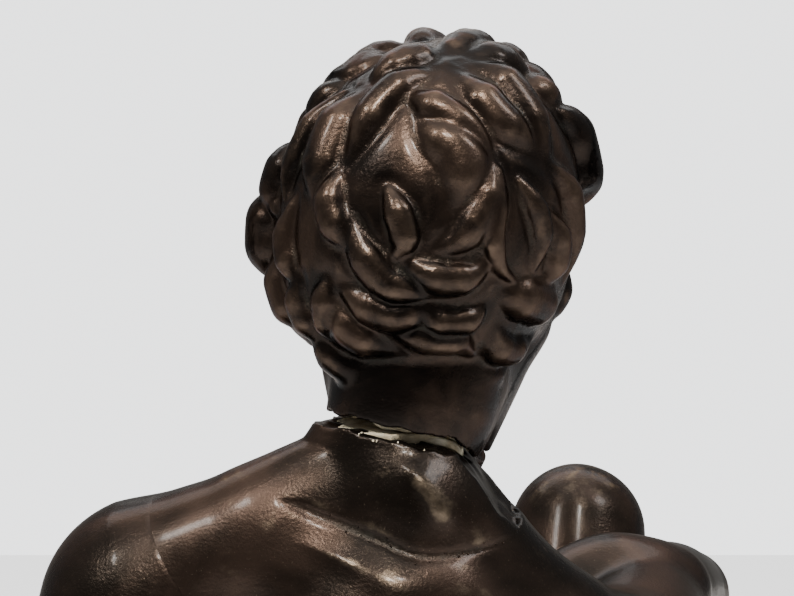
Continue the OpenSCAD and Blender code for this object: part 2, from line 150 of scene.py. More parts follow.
def capsule(p, start, end):
    # the hull of two balls of different size
    ab = [end[i] - start[i] for i in range(3)]
    rel = [p[i] - start[i] for i in range(3)]
    length = math.sqrt(sum(v * v for v in ab)) + 1e-6
    along = (rel[0] * ab[0] + rel[1] * ab[1] + rel[2] * ab[2]) / length
    off = np.sqrt(np.maximum(rel[0] ** 2 + rel[1] ** 2 + rel[2] ** 2 - along ** 2, 0))
    slope = max(-0.9, min(0.9, (end[3] - start[3]) / length))
    t = np.clip((along + off * slope / math.sqrt(1 - slope * slope)) / length, 0, 1)
    gap = np.sqrt(sum((rel[i] - t * ab[i]) ** 2 for i in range(3)))
    return gap - (start[3] + (end[3] - start[3]) * t)


def runOf(p, balls):
    d = capsule(p, balls[0], balls[min(1, len(balls) - 1)])
    for a, b in zip(balls[1:], balls[2:]):
        d = np.minimum(d, capsule(p, a, b))
    return d


def curve(points, pieces=4):
    # a smooth line through the given points
    out = []
    n = len(points)
    for i in range(n - 1):
        p0, p1, p2, p3 = points[max(i - 1, 0)], points[i], points[i + 1], points[min(i + 2, n - 1)]
        for j in range(pieces):
            t = j / pieces
            out.append(tuple(0.5 * (2 * b + (c - a) * t + (2 * a - 5 * b + 4 * c - d) * t * t
                                    + (-a + 3 * b - 3 * c + d) * t * t * t)
                             for a, b, c, d in zip(p0, p1, p2, p3)))
    out.append(tuple(points[-1]))
    return out


def smoothRun(p, balls):
    return runOf(p, balls if len(balls) < 3 else curve(balls, 8))


def inReach(p, balls, pad):
    inside = np.ones(p.shape[1], bool)
    for i in range(3):
        low = min(b[i] - b[3] for b in balls) - pad
        high = max(b[i] + b[3] for b in balls) + pad
        inside &= (p[i] > low) & (p[i] < high)
    return inside


def add(p, d, balls, soft, pad=1.5):
    m = inReach(p, balls, pad + soft)
    if m.any():
        d[m] = melt(d[m], smoothRun(p[:, m], balls), soft)


def dig(p, d, balls, soft, pad=1.5):
    m = inReach(p, balls, pad + soft)
    if m.any():
        d[m] = carve(d[m], runOf(p[:, m], balls), soft)


def crease(p, d, path, depth, width):
    # a groove (depth > 0) or a ridge (depth < 0) along a path of points near the surface
    balls = [(*q, width) for q in path]
    m = inReach(p, balls, 2.5 * width)
    if m.any():
        off = runOf(p[:, m], balls) + width
        d[m] += depth * np.exp(-(off / width) ** 2)


def backLine(p, d, path, depth, width, front=-1.0):
    # the same, drawn on the back as seen from behind and fading out at both ends: path holds (x, z)
    line = curve(path, 5)
    last = len(line) - 1
    xs = [q[0] for q in line]
    zs = [q[1] for q in line]
    m = (p[0] > min(xs) - 3 * width) & (p[0] < max(xs) + 3 * width)
    m &= (p[2] > min(zs) - 3 * width) & (p[2] < max(zs) + 3 * width) & (p[1] > front)
    if m.any():
        flat = np.stack([p[0, m], np.zeros(m.sum(), np.float32), p[2, m]])
        fade = [1.5 * width * max(0.0, 1 - min(i, last - i) / (0.32 * last)) ** 1.5
                for i in range(last + 1)]
        off = np.maximum(runOf(flat, [(x, 0, z, -w) for x, z, w in zip(xs, zs, fade)]), 0)
        d[m] += depth * np.exp(-(off / width) ** 2)


def beyond(p, at, way):
    return sum((p[i] - at[i]) * way[i] for i in range(3))


def egg(p, centre, radii):
    q = [(p[i] - centre[i]) / radii[i] for i in range(3)]
    k = np.sqrt(q[0] ** 2 + q[1] ** 2 + q[2] ** 2)
    return (k - 1) * min(radii)


def meshArrays(name, points, faces):
    mesh = bpy.data.meshes.new(name)
    mesh.vertices.add(len(points))
    mesh.vertices.foreach_set("co", np.ascontiguousarray(points, np.float32).ravel())
    n = faces.shape[1]
    mesh.loops.add(faces.size)
    mesh.loops.foreach_set("vertex_index", np.ascontiguousarray(faces, np.int32).ravel())
    mesh.polygons.add(len(faces))
    mesh.polygons.foreach_set("loop_start", np.arange(0, faces.size, n, dtype=np.int32))
    mesh.update(calc_edges=True)
    mesh.polygons.foreach_set("use_smooth", np.ones(len(faces), bool))
    return mesh


def gridField(field, low, high, step):
    # the field is worked out near the surface only, block by block
    edge = 8
    blocks = [int(math.ceil((high[i] - low[i]) / (step * edge))) for i in range(3)]
    axes = [low[i] + (np.arange(blocks[i], dtype=np.float32) + 0.5) * step * edge for i in range(3)]
    mids = np.stack(np.meshgrid(*axes, indexing="ij")).reshape(3, -1).astype(np.float32)
    rough = field(mids)
    close = np.abs(rough) < step * edge * 1.15 + 0.35
    whole = np.empty((blocks[0] * blocks[1] * blocks[2], edge, edge, edge), np.float32)
    whole[:] = rough[:, None, None, None]
    inner = (np.arange(edge, dtype=np.float32) - (edge - 1) / 2) * step
    cell = np.stack(np.meshgrid(inner, inner, inner, indexing="ij")).reshape(3, -1)
    active = np.nonzero(close)[0]
    for start in range(0, len(active), 1500):
        part = active[start:start + 1500]
        pts = (mids[:, part, None] + cell[:, None, :]).reshape(3, -1)
        whole[part] = field(pts).reshape(-1, edge, edge, edge)
    whole = whole.reshape(*blocks, edge, edge, edge).transpose(0, 3, 1, 4, 2, 5)
    return np.ascontiguousarray(whole.reshape([n * edge for n in blocks]))


wear = {
    "reach": 0.5,                                 # relief is measured from a surface smoothed this far
    "most": 0.09,                                 # relief levels off here, in millimetres
    "seamClear": 0.7,                             # beside a joint line it stays flat this far
}


def addRelief(mesh, step, seams=None):
    # how far each point stands above or below the smoothed surface, in millimetres:
    # the worn ridges and dirty hollows read it
    n = len(mesh.vertices)
    at = np.empty(n * 3, np.float32)
    mesh.vertices.foreach_get("co", at)
    at = at.reshape(n, 3).astype(np.float64)
    ends = np.empty(len(mesh.edges) * 2, np.int32)
    mesh.edges.foreach_get("vertices", ends)
    a, b = ends[0::2], ends[1::2]
    count = np.bincount(a, minlength=n) + np.bincount(b, minlength=n) + 1

    def smoothed(v):
        return (v + np.bincount(a, v[b], n) + np.bincount(b, v[a], n)) / count

    soft = at.copy()
    for turn in range(int(min(26, max(3, round((wear["reach"] / step) ** 2))))):
        soft = np.stack([smoothed(soft[:, i]) for i in range(3)], 1)
    normal = np.empty(n * 3, np.float32)
    mesh.vertices.foreach_get("normal", normal)
    rise = ((at - soft) * normal.reshape(n, 3)).sum(1) * 1000
    rise = smoothed(smoothed(rise))
    rise = np.tanh(rise / wear["most"]) * wear["most"]
    if seams:
        rise *= np.clip(seams(((at - np.array(figureAt)) / cm).T) - wear["seamClear"], 0, 1)
    mesh.attributes.new("relief", "FLOAT", "POINT").data.foreach_set("value", rise.astype(np.float32))


def formMesh(name, field, low, high, step, worn=True, seams=None):
    # seams gives the distance to the nearest joint line, beside which the relief is left flat
    step = step * coarse
    low = [v - step * 3 for v in low]
    high = [v + step * 3 for v in high]
    grid = openvdb.FloatGrid(3.0)
    grid.copyFromArray(gridField(field, low, high, step))
    points, quads = grid.convertToQuads(0.0)
    points = np.array([v + 0.5 * step for v in low]) + points * step
    points = np.array(figureAt) + points * cm
    mesh = meshArrays(name, points, quads)
    if worn:
        addRelief(mesh, step, seams)
    return mesh


def asPiece(mesh, body, slot, *nodes):
    obj = inScene(mesh.name, mesh)
    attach(obj, body)
    if nodes:
        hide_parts(*nodes)
    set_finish(obj, slot)
    return obj


# ---- the body: x to the figure's left, y to its back, z up from the seat, then a radius ----
body = {
    "shoulderL": (21.1, 3.8, 49.0, 5.6),
    "shoulderR": (-7.8, 0.3, 42.7, 5.1),
    "hipL": (9.5, 0.2, 10.2, 8.6),
    "hipR": (-4.0, 1.0, 10.5, 8.6),
    "kneeL": (30, -34.5, 9),
    "kneeR": (-7.3, -24.5, 45.9),
    "legStart": 3,                                # how far down the thigh the leg's casting starts
    "seamWidth": 0.02,                            # gap between two castings, in centimetres of life size
}


def unit(v):
    n = math.sqrt(sum(a * a for a in v))
    return tuple(a / n for a in v)


def between(start, end, part):
    return tuple(a + (b - a) * part for a, b in zip(start, end))


def jointFaces():
    # where each limb's casting meets the torso, and which way the limb leads
    faces = {
        "armL": (between((12, 5, 53.6), (20.3, 3.8, 49.5), 0.62), unit((0.96, 0.05, -0.30))),
        "armR": (between((-1.2, 4, 50.0), body["shoulderR"], 0.66), unit((-0.72, -0.42, -0.55))),
    }
    for side in "LR":
        hip, knee = body["hip" + side], body["knee" + side]
        way = unit([knee[i] - hip[i] for i in range(3)])
        faces["leg" + side] = (tuple(hip[i] + body["legStart"] * way[i] for i in range(3)), way)
    return faces


joints = jointFaces()


def neckColumn(p):
    d = smoothRun(p, [(5.4, 4.6, 52.5, 4.9), (5.8, 3.7, 58.2, 4.4), (4.9, 3.3, 61.2, 5.0), (4.4, 2.2, 65, 5.3)])
    # the two long muscles from behind the ears to the top of the breastbone
    add(p, d, [(9.0, 1.0, 65, 1.6), (8.4, 0.0, 60.0, 1.2), (6.2, -2.0, 52.8, 0.9)], 2.2)
    add(p, d, [(-1.0, 0.8, 65, 1.9), (0.6, -0.2, 60.4, 1.6), (2.2, -0.8, 56, 1.3), (3.6, -2.4, 52.0, 0.9)], 2.2)
    add(p, d, [(4.8, -1.2, 60.2, 1.3), (5.0, -0.6, 57, 1.2)], 1.6)
    return d


def neckSkin(p):
    d = neckColumn(p)
    add(p, d, [(8.5, 4.6, 60.2, 1.8), (9.6, 4.8, 57.8, 2.0), (13.2, 4.9, 54.4, 2.8)], 1.6)
    add(p, d, [(3.4, 4.8, 58.6, 1.9), (3.0, 4.8, 55.6, 2.2), (0.6, 4.6, 51.4, 2.8), (-3.4, 3.6, 47.4, 3.0)],
        1.4)
    return d


nape = {
    "root": (4.2, 5.4, 54.0, 4.2),
    "fold": [(12.6, 56.1), (11.6, 55.8), (10.3, 55.3), (6.8, 54.2), (4.6, 53.5), (1.4, 53.6), (-0.8, 53.8)],
}


def torsoSkin(p):
    d = smoothRun(p, [(5.8, 4.8, 47, 8.5), (5.8, 4, 38, 8.7), (3.6, 3, 24, 7.2), (2.5, 0.6, 11, 8.8)])
    add(p, d, [nape["root"], (12, 5, 53.6, 4.0), body["shoulderL"]], 2.2)
    add(p, d, [nape["root"], (-1.2, 4, 48.4, 3.8), body["shoulderR"]], 1.8)
    add(p, d, [body["hipL"], body["hipR"]], 2.5)
    add(p, d, [(12.5, 5, 51, 4.2), (14, 3.2, 43, 5.9), (11.6, 3, 33, 5.8), (4.6, 3, 25, 6.6)], 2.2)
    add(p, d, [(-2.2, 3.4, 45, 4.4), (-2.5, 1.5, 38, 5.8), (-1, 1, 29, 5.7), (2.8, 2.5, 24, 6.4)], 2.2)
    # chest, ribs and belly
    add(p, d, [(5, -0.6, 42, 7.4), (4.4, -1.2, 34, 7.0)], 2.0)
    add(p, d, [(12.8, -1.0, 46, 4.6), (8.4, -3.0, 43.2, 4.6)], 1.4)
    add(p, d, [(-3.4, -1.6, 41.6, 4.6), (1.4, -3.8, 40.8, 4.5)], 1.4)
    add(p, d, [(4.2, -1.4, 31, 6.2), (3.6, -1.8, 23, 6.2), (2.8, -1, 14, 7)], 2.4)
    add(p, d, [(9.6, 1.5, 27, 3.4), (9.0, 0.5, 19, 5.0)], 2.4)
    add(p, d, [(-2.8, 1, 25, 3.4), (-4, 0.5, 18, 5.0)], 2.4)
    # collar bones
    add(p, d, [(6.0, -2.0, 51.0, 1.0), (11, -0.2, 51.8, 0.8), (17, 1.8, 52.2, 1.0)], 2.4)
    add(p, d, [(3.2, -2.2, 50.6, 1.0), (-1.2, -2.2, 48.2, 0.8), (-6, -1.2, 45.4, 1.0)], 2.4)
    d = melt(d, neckSkin(p), 1.8)
    # the bump at the root of the neck, leaning over the fold below it
    add(p, d, [(6.4, 6.0, 58.2, 2.2), (4.9, 6.7, 56.2, 3.1), (3.2, 6.4, 55.0, 2.8)], 1.6)
    backLine(p, d, nape["fold"], 0.20, 0.30)
    backLine(p, d, nape["fold"], 0.14, 1.3)
    backLine(p, d, [(11.4, 54.0), (8.6, 53.2), (5.6, 52.6), (3.2, 52.5), (1.2, 51.6), (-0.4, 50.0)], -0.30,
             0.95)
    backLine(p, d, [(5.6, 58.4), (4.0, 56.9), (3.0, 55.2)], -0.32, 0.7)
    backLine(p, d, [(13.6, 58.6), (11.7, 58.9), (9.5, 58.7)], 0.10, 0.28)
    # spine, shoulder blades and the long muscles beside the spine
    backLine(p, d, [(4.4, 49.0), (4.9, 42), (4.6, 34), (3.8, 26), (3.0, 18)], 0.62, 1.7)
    backLine(p, d, [(8.6, 46.5), (10.0, 41), (11.4, 36.4)], -0.62, 2.1)
    backLine(p, d, [(9.4, 35.2), (12.6, 34.6), (16.0, 37.5)], 0.3, 1.7)
    backLine(p, d, [(10, 48.0), (15, 48.4), (18.6, 49.6)], -0.34, 1.5)
    backLine(p, d, [(0.2, 44.0), (-1.4, 38.8), (-2.4, 34.4)], -0.62, 2.1)
    backLine(p, d, [(0.2, 33.0), (-3.0, 32.2), (-5.8, 34.9)], 0.3, 1.7)
    backLine(p, d, [(8.0, 33), (7.4, 26), (6.4, 19)], -0.40, 2.0)
    backLine(p, d, [(1.4, 32), (0.6, 26), (-0.2, 19)], -0.40, 2.0)
    dig(p, d, [(3.0, 11.2, 15.5, 0.3), (2.8, 10.9, 11, 0.8), (2.6, 9.6, 5, 0.9), (2.6, 6.0, -1, 0.9)], 1.8)
    backLine(p, d, [(5.0, 16.2), (5.0, 16.0)], 0.22, 0.9)
    backLine(p, d, [(0.8, 16.2), (0.8, 16.0)], 0.22, 0.9)
    # front: breastbone, belly line, navel and rib arch
    crease(p, d, [(4.6, -8.2, 47), (4.4, -8.8, 40), (4.3, -9.0, 36)], 0.5, 1.0)
    crease(p, d, [(4.2, -8.6, 34), (4.0, -8.4, 28), (3.8, -8.2, 24)], 0.35, 0.8)
    crease(p, d, [(3.7, -8.2, 22.8), (3.7, -8.0, 22.4)], 0.7, 0.6)
    crease(p, d, [(4.4, -8.8, 37), (8, -7.0, 34), (11, -3.4, 31)], 0.3, 0.9)
    crease(p, d, [(4.2, -8.8, 37), (1, -7.4, 33), (-3, -4.4, 29.5)], 0.3, 0.9)
    return d


def armSkin(p, side):
    if side == "L":
        d = smoothRun(p, [body["shoulderL"], (23.4, 6.4, 41, 4.7), (25.2, 8.8, 33, 4.0), (26.8, 10.4, 25, 3.3)])
        add(p, d, [(21.4, 5.4, 48, 4.6), (23.6, 7.6, 40, 3.8)], 1.5)
        add(p, d, [(23.4, 9.4, 39, 2.6), (25.6, 11.2, 30, 2.6)], 1.4)
        add(p, d, [(23.6, 4.4, 38, 2.8), (25.8, 7.4, 29, 2.6)], 1.4)
        add(p, d, [(26.8, 10.6, 24.4, 3.1), (27.8, 10.4, 18.5, 3.6), (29.0, 10.9, 11, 2.8),
                   (30, 11.5, 4.4, 2.1)], 1.2)
        add(p, d, [(27.2, 12.8, 24.4, 1.6), (27.8, 12.0, 18, 1.5)], 1.2)
        add(p, d, [(25.6, 8.6, 21.5, 2.0), (27.2, 8.8, 14, 1.8)], 1.4)
        along, across = (0.55, 0.83), (0.83, -0.55)
        for offset, length, splay in [(-2.7, 6.0, -0.9), (-0.9, 7.4, -0.3), (0.9, 8.0, 0.2), (2.7, 7.2, 0.8)]:
            at = [(30 + along[0] * s + across[0] * o, 11.5 + along[1] * s + across[1] * o)
                  for s, o in [(1.0, offset * 0.5), (8.4, offset), (8.4 + length * 0.45, offset + splay * 0.5),
                               (8.4 + length * 0.75, offset + splay * 0.8), (8.4 + length, offset + splay)]]
            balls = [(*q, z, r) for q, z, r in zip(at, (3.2, 2.5, 2.4, 1.7, 0.9), (1.3, 0.95, 0.8, 0.72, 0.6))]
            add(p, d, balls[:2], 0.7)
            add(p, d, balls[1:], 0.25)
        add(p, d, [(31.6, 11.8, 3.0, 1.4), (34.6, 12.6, 1.8, 1.1), (36.6, 14.6, 1.0, 0.8)], 0.6)
        add(p, d, [(32, 14, 2.6, 1.6), (34, 17.6, 2.0, 1.5)], 0.9)
        return d
    d = smoothRun(p, [body["shoulderR"], (-9.6, -5.6, 43.3, 4.8), (-11.2, -11.5, 44.0, 4.1),
                      (-13.8, -17.6, 43.2, 3.6), (-15.8, -21.7, 41.9, 3.1)])
    add(p, d, [(-5.4, -9.0, 45.0, 3.4), (-9.0, -11.0, 45.6, 3.6), (-12.9, -12.2, 45.2, 2.7)], 1.1)
    add(p, d, [(-11.6, -6, 41, 3.4), (-13.4, -14, 40.8, 3.2)], 1.4)
    add(p, d, [(-15.9, -22.4, 41.7, 2.9), (-16.5, -23.6, 36, 3.4), (-15.8, -24.8, 29, 2.9),
               (-14.8, -25.8, 20.4, 2.0)], 1.0)
    add(p, d, [(-16.8, -23.2, 41.6, 1.8), (-16.8, -24.6, 37, 1.4)], 0.9)
    for z, knuckle in [(17.0, 0.4), (15.3, 0.0), (13.7, 0.2), (12.2, 0.7)]:
        add(p, d, [(-14.6, -26.0, 18.6, 1.2), (-13.2 + knuckle, -27.6, z, 1.0)], 0.7)
        add(p, d, [(-13.2 + knuckle, -27.6, z, 0.95), (-11.4, -29.0, z - 0.1, 0.85),
                   (-8.8, -29.7, z - 0.4, 0.75),
                   (-5.8, -28.6, z - 0.8, 0.62)], 0.25)
    add(p, d, [(-14.4, -25.2, 18.4, 1.3), (-12.4, -27.4, 19.2, 1.05), (-9.2, -28.8, 19.4, 0.8)], 0.5)
    return d


def legSkin(p, side):
    if side == "R":
        d = smoothRun(p, [body["hipR"], (-5.2, -6, 19, 8.0), (-5.9, -12.5, 28.5, 7.1), (-7, -19.6, 38.2, 5.9),
                          (-7.9, -24.2, 46.0, 5.1)])
        add(p, d, [(-8.4, -10, 27, 4.4), (-9.4, -18, 38, 3.6)], 2.0)
        add(p, d, [(-8.0, -26.8, 47.0, 3.2), (-8.0, -28.4, 45.0, 2.3)], 1.4)
        add(p, d, [(-7.9, -25.8, 43.6, 4.4), (-8, -25.0, 36, 4.3), (-8.1, -24.2, 28, 4.0),
                   (-8.3, -24.2, 20, 3.1),
                   (-8.5, -24.8, 9, 2.5)], 1.4)
        add(p, d, [(-9.8, -21.8, 36, 2.8), (-9.4, -21.6, 29, 2.6)], 1.6)
        add(p, d, [(-6.4, -21.6, 35, 2.8), (-6.8, -21.8, 27, 2.4)], 1.6)
        add(p, d, [(-7.9, -28.4, 41, 1.8), (-8.2, -27.0, 29, 1.4), (-8.4, -26.4, 14, 1.3)], 1.4)
        heel, turn = (-8.5, -22.2), (-0.09, -1.0)
    else:
        d = smoothRun(p, [body["hipL"], (14, -8, 10.4, 8.0), (20, -18.5, 10.2, 7.1), (26, -28.3, 9.7, 5.9),
                          (29.6, -33.6, 9.3, 5.1)])
        add(p, d, [(31.0, -36.0, 10.2, 3.0), (31.8, -37.2, 8.8, 2.2)], 1.4)
        add(p, d, [(29.4, -33.8, 8.4, 4.4), (22, -30.4, 7.4, 4.6), (14, -26.0, 6.2, 4.0), (6, -20.8, 5.0, 2.9),
                   (0.8, -17.8, 4.4, 2.4)], 1.4)
        add(p, d, [(21, -27.4, 7.6, 3.2), (14, -24, 6.8, 2.8)], 1.6)
        heel, turn = (2.8, -18.0), (-0.94, 0.34)
    side = 1 if side == "R" else -1
    right = (turn[1], -turn[0])

    def onFoot(forward, out, z, r):
        x, y = (heel[i] + turn[i] * forward + right[i] * out * side for i in (0, 1))
        return (x, y, z, r)

    add(p, d, [onFoot(0.2, 0, 2.7, 2.5), onFoot(2.4, 0, 5.4, 2.6)], 1.2)
    add(p, d, [onFoot(3.2, 0.2, 6.6, 2.6), onFoot(8, -0.3, 5.2, 2.5), onFoot(13.5, -0.3, 3.4, 2.1),
               onFoot(17, 0, 2.3, 1.8)], 1.2)
    add(p, d, [onFoot(1.5, 1.6, 2.0, 1.8), onFoot(9.5, 2.8, 1.8, 1.6), onFoot(15.5, 3.2, 1.6, 1.4)], 1.2)
    add(p, d, [onFoot(1.5, -1.2, 2.2, 1.9), onFoot(9.5, -1.8, 3.4, 1.4), onFoot(16.6, -2.4, 1.9, 1.7)], 1.2)
    add(p, d, [onFoot(2.6, 2.7, 7.4, 0.9), onFoot(2.9, 2.7, 7.0, 0.9)], 0.8)
    add(p, d, [onFoot(2.8, -2.5, 8.0, 0.9), onFoot(3.1, -2.5, 7.6, 0.9)], 0.8)
    for out, length, r in [(-2.5, 23.2, 1.25), (-0.6, 22.8, 0.85), (0.8, 21.9, 0.78), (2.1, 20.8, 0.72),
                           (3.3, 19.6, 0.7)]:
        add(p, d, [onFoot(16.6, out * 0.95, 1.9, r), onFoot(length - 2.2, out, 1.8, r * 0.95),
                   onFoot(length, out, 1.1, r)], 0.3)
    return d


# ---- the break in the neck: it runs round as a ragged step, high on the left and steep on the right ----
crack = {
    "path": [(-6, 60), (-1.6, 54.8), (-0.8, 54.5), (0.1, 55.4), (1.5, 57.6), (2.7, 58.9), (4.0, 59.4),
             (6.2, 59.7), (8.2, 60.1),
             (10.6, 60.3), (40, 62)],
    "ragged": 0.24,
    "gap": 0.56,
}


def ripple(x, y, z, size, seed):
    # soft uneven waviness from a few fixed waves
    total = 0
    for i in range(5):
        a = seed * 1.7 + i * 2.4
        along = x * math.cos(a) + y * math.sin(a) * 0.9 + z * math.sin(a * 1.3)
        total = total + np.sin(along * (1.3 + 0.62 * i) / size + seed * 3.1 + i)
    return total / 5


def overCrack(p):
    # how far a point is above the middle of the break
    xs = [q[0] for q in crack["path"]]
    zs = [q[1] for q in crack["path"]]
    level = np.interp(p[0], xs, zs).astype(np.float32)
    frontal = np.clip((6 - p[1]) / 12, 0, 1)
    level = level * (1 - frontal) + (58.4 + 0.14 * (p[0] - 4.4)) * frontal
    return (p[2] - level + crack["ragged"] * ripple(p[0], p[1], 0, 0.8, 2.0)) * 0.8


plaster = {
    "at": (5.5, 3.9),                             # middle of the column in the neck
    "radius": 3.45,
    "rodHole": 1.21,
    "play": 0.03,                                 # how far the column stays inside its hole
}


def post(p, at, radius):
    # an upright round column
    return np.sqrt((p[0] - at[0]) ** 2 + (p[1] - at[1]) ** 2) - radius


def plasterSpace(p):
    return post(p, plaster["at"], plaster["radius"])


# ---- the head: hair locks are drawn as (longitude, latitude) on the hair's egg, 0 is the back ----
hair = {
    "centre": (4.2, 0.5, 70.9),
    "shell": (9.15, 9.8, 11.0),                   # the scalp the locks lie on
    "over": (9.75, 10.4, 11.6),                   # the egg the locks' tops follow
    "merge": 0.45,
    "fullness": 1.24,                             # above 1 the locks are broader and lie flatter
    "groove": 0.17,                               # depth and width of the chased line between two locks
    "grooveWidth": 0.36,
    "lean": 0.09,                                 # the crown leans to the figure's right
    "turn": 16,                                   # degrees the face turns to the figure's right
}

backLocks = [
    (1.3, [(-38, 50), (-26, 60), (1, 70)]),
    (1.5, [(1, 64), (54, 76), (82, 71)]),
    (1.6, [(24, 60), (52, 62), (64, 55)]),
    (1.5, [(67, 57), (82, 50), (82, 43)]),
    (1.3, [(82, 58), (82, 49), (82, 39)]),
    (1.3, [(13, 58), (35, 52), (43, 39), (46, 26), (48, 17)]),
    (1.2, [(8, 54), (19, 44), (27, 35), (37, 28), (42, 21)]),
    (1.5, [(-10, 37), (-1, 31), (8, 25), (11, 18), (8, 10), (2, 5)]),
    (1.0, [(-15, 43), (-5, 40), (5, 35), (16, 28), (20, 21)]),
    (1.1, [(-7, 54), (-20, 49), (-29, 39), (-32, 28), (-34, 18)]),
    (1.4, [(-41, 46), (-48, 36), (-48, 24), (-46, 13), (-42, 4)]),
    (1.0, [(-37, 18), (-38, 9), (-33, 1), (-25, -5)]),
    (0.8, [(-56, 45), (-64, 35), (-66, 24), (-66, 13), (-59, 2)]),
    (0.8, [(-58, 9), (-61, -2), (-58, -11), (-51, -17)]),
    (1.3, [(-82, 25), (-82, 17), (-82, 9), (-72, 4)], 0.35),
    (1.6, [(-84, 10), (-88, 1), (-88, -8), (-84, -15)], 0.75),
    (1.3, [(-74, -9), (-74, -18), (-70, -27), (-67, -34)]),
    (0.9, [(-52, -14), (-55, -22), (-52, -30), (-48, -38)]),
    (0.9, [(-37, -14), (-39, -21), (-39, -29), (-34, -37)]),
    (0.8, [(-16, 13), (-11, 6), (-8, -2), (-13, -7)]),
    (1.0, [(20, 22), (20, 13), (17, 5), (10, -2), (0, -5)]),
    (1.0, [(-30, 6), (-23, -5), (-13, -14), (-2, -16), (10, -16)]),
    (0.9, [(-8, -7), (3, -12), (15, -12), (23, -7)]),
    (0.6, [(23, 18), (23, 9), (22, 0), (26, -9), (34, -14)]),
    (0.7, [(32, 15), (39, 7), (43, -2), (42, -11)]),
    (0.9, [(48, 20), (59, 13), (64, 2), (67, -9), (68, -20)]),
    (1.5, [(70, 37), (83, 31), (89, 20), (86, 9), (73, 2)], 0.65),
    (0.9, [(44, 6), (53, -2), (54, -11), (47, -16)]),
    (1.0, [(-31, -16), (-22, -21), (-12, -24), (0, -23), (10, -21)]),
    (1.1, [(-36, -22), (-31, -29), (-21, -34), (-8, -38)]),
    (1.1, [(-51, -34), (-44, -42), (-31, -49), (-17, -50)]),
    (0.9, [(-10, -29), (3, -32), (16, -33), (27, -40)]),
    (0.8, [(-2, -21), (8, -26), (19, -25), (23, -21)]),
    (1.3, [(29, -18), (41, -20), (58, -24), (74, -30)]),
    (1.0, [(31, -28), (39, -37), (52, -38), (64, -33)]),
    (1.0, [(-30, -46), (-14, -53), (2, -56)]),
    (1.0, [(2, -46), (13, -53), (28, -50)]),
    (0.7, [(31, -46), (45, -49), (54, -46)]),
]

sideLocks = [
    (1.2, [(60, 47), (72, 45), (84, 38)]),
    (1.2, [(86, 55), (97, 48), (101, 37)]),
    (1.3, [(66, 66), (90, 63), (104, 55)]),
    (1.2, [(-66, 62), (-78, 58), (-92, 50)]),
    (1.1, [(-68, 48), (-76, 42), (-82, 33)]),
    (1.3, [(90, 62), (110, 52), (122, 44)]),
    (1.2, [(60, 80), (120, 72), (140, 60)]),
    (1.2, [(-60, 74), (-90, 62), (-112, 52)]),
    (1.3, [(-50, 64), (-80, 52), (-96, 42)]),
    (1.2, [(-90, 44), (-104, 34), (-110, 22), (-102, 14)]),
    (1.1, [(-98, 12), (-108, 2), (-106, -8), (-98, -14)]),
    (1.0, [(-92, -8), (-98, -18), (-92, -28)]),
    (1.2, [(96, 40), (108, 30), (110, 18), (102, 10)]),
    (1.1, [(100, 8), (110, -2), (106, -12), (96, -18)]),
    (1.0, [(88, -14), (96, -24), (88, -32)]),
    (1.2, [(104, 60), (128, 56), (138, 46), (130, 38)]),
    (1.1, [(116, 34), (128, 30), (132, 20), (124, 12)]),
    (1.2, [(142, 66), (158, 56), (160, 46), (148, 40)]),
    (1.2, [(165, 72), (178, 58), (176, 47), (164, 43)]),
    (1.2, [(-168, 70), (-164, 57), (-168, 47), (-178, 41)]),
    (1.2, [(-146, 70), (-146, 57), (-150, 47), (-160, 42)]),
    (1.2, [(-122, 62), (-128, 52), (-132, 42), (-142, 38)]),
    (1.1, [(-112, 40), (-122, 34), (-126, 24), (-118, 15)]),
    (1.1, [(-40, 78), (-130, 82), (150, 76)]),
    (1.0, [(20, 76), (100, 80), (150, 70)]),
    (1.0, [(118, 8), (122, -1), (116, -8)]),
    (1.0, [(-116, 10), (-121, 1), (-115, -6)]),
]


def onHair(lon, lat, depth=0.0):
    over = hair["over"]
    a, b = math.radians(lon), math.radians(lat)
    c = hair["centre"]
    up = (over[2] - depth) * math.sin(b)
    return (c[0] - (over[0] - depth) * math.cos(b) * math.sin(a) - hair["lean"] * up,
            c[1] + (over[1] - depth) * math.cos(b) * math.cos(a), c[2] + up)


def lockBalls(radius, path, lift=0.0):
    # thick in the middle and tapered to both ends, half sunk in the scalp
    radius *= hair["fullness"]
    line = curve([onHair(lon, lat, radius * 0.88 - lift) for lon, lat in path])
    n = len(line) - 1
    balls = []
    for i, q in enumerate(line):
        t = i / n
        fat = 0.42 + 0.58 * min(1, 3.2 * t) if t < 0.5 else 0.30 + 0.70 * min(1, 2.4 * (1 - t))
        balls.append((*q, radius * fat * 0.98))
    return balls


locks = [lockBalls(*lock) for lock in backLocks + sideLocks]


def hairSkin(p):
    centre = hair["centre"]
    leaning = np.stack([p[0] + hair["lean"] * (p[2] - centre[2]), p[1], p[2]])
    d = egg(leaning, centre, hair["shell"])
    # the scalp stops at the hairline, round the face and above the neck
    face = toFace(p)
    hairline = melt(-(face[1] + 4.4 - 0.25 * face[2]), -(face[2] - 5.6 - 0.10 * np.abs(face[0])), 1.0)
    thin = np.clip((hairline + 3.2) / 3.2, 0, 1)
    d = d + 2.0 * thin * thin * (3 - 2 * thin)
    d = carve(d, (p[2] - 62.4 + 0.22 * (p[1] - 9.5)) * 0.9, 1.4)
    near, second = d.copy(), np.full(d.shape, 9.0)
    for balls in locks:
        m = inReach(p, balls, 1.2)
        if m.any():
            lock = runOf(p[:, m], balls)
            d[m] = melt(d[m], lock, hair["merge"])
            second[m] = np.minimum(second[m], np.maximum(near[m], lock))
            near[m] = np.minimum(near[m], lock)
    d = d + hair["groove"] * np.exp(-((second - near) / hair["grooveWidth"]) ** 2)
    for s in (-1, 1):
        dig(face, d, [(9.6 * s, -1.7, -3.0, 1.7), (9.9 * s, -1.2, 0.4, 1.8)], 0.8)
    return d


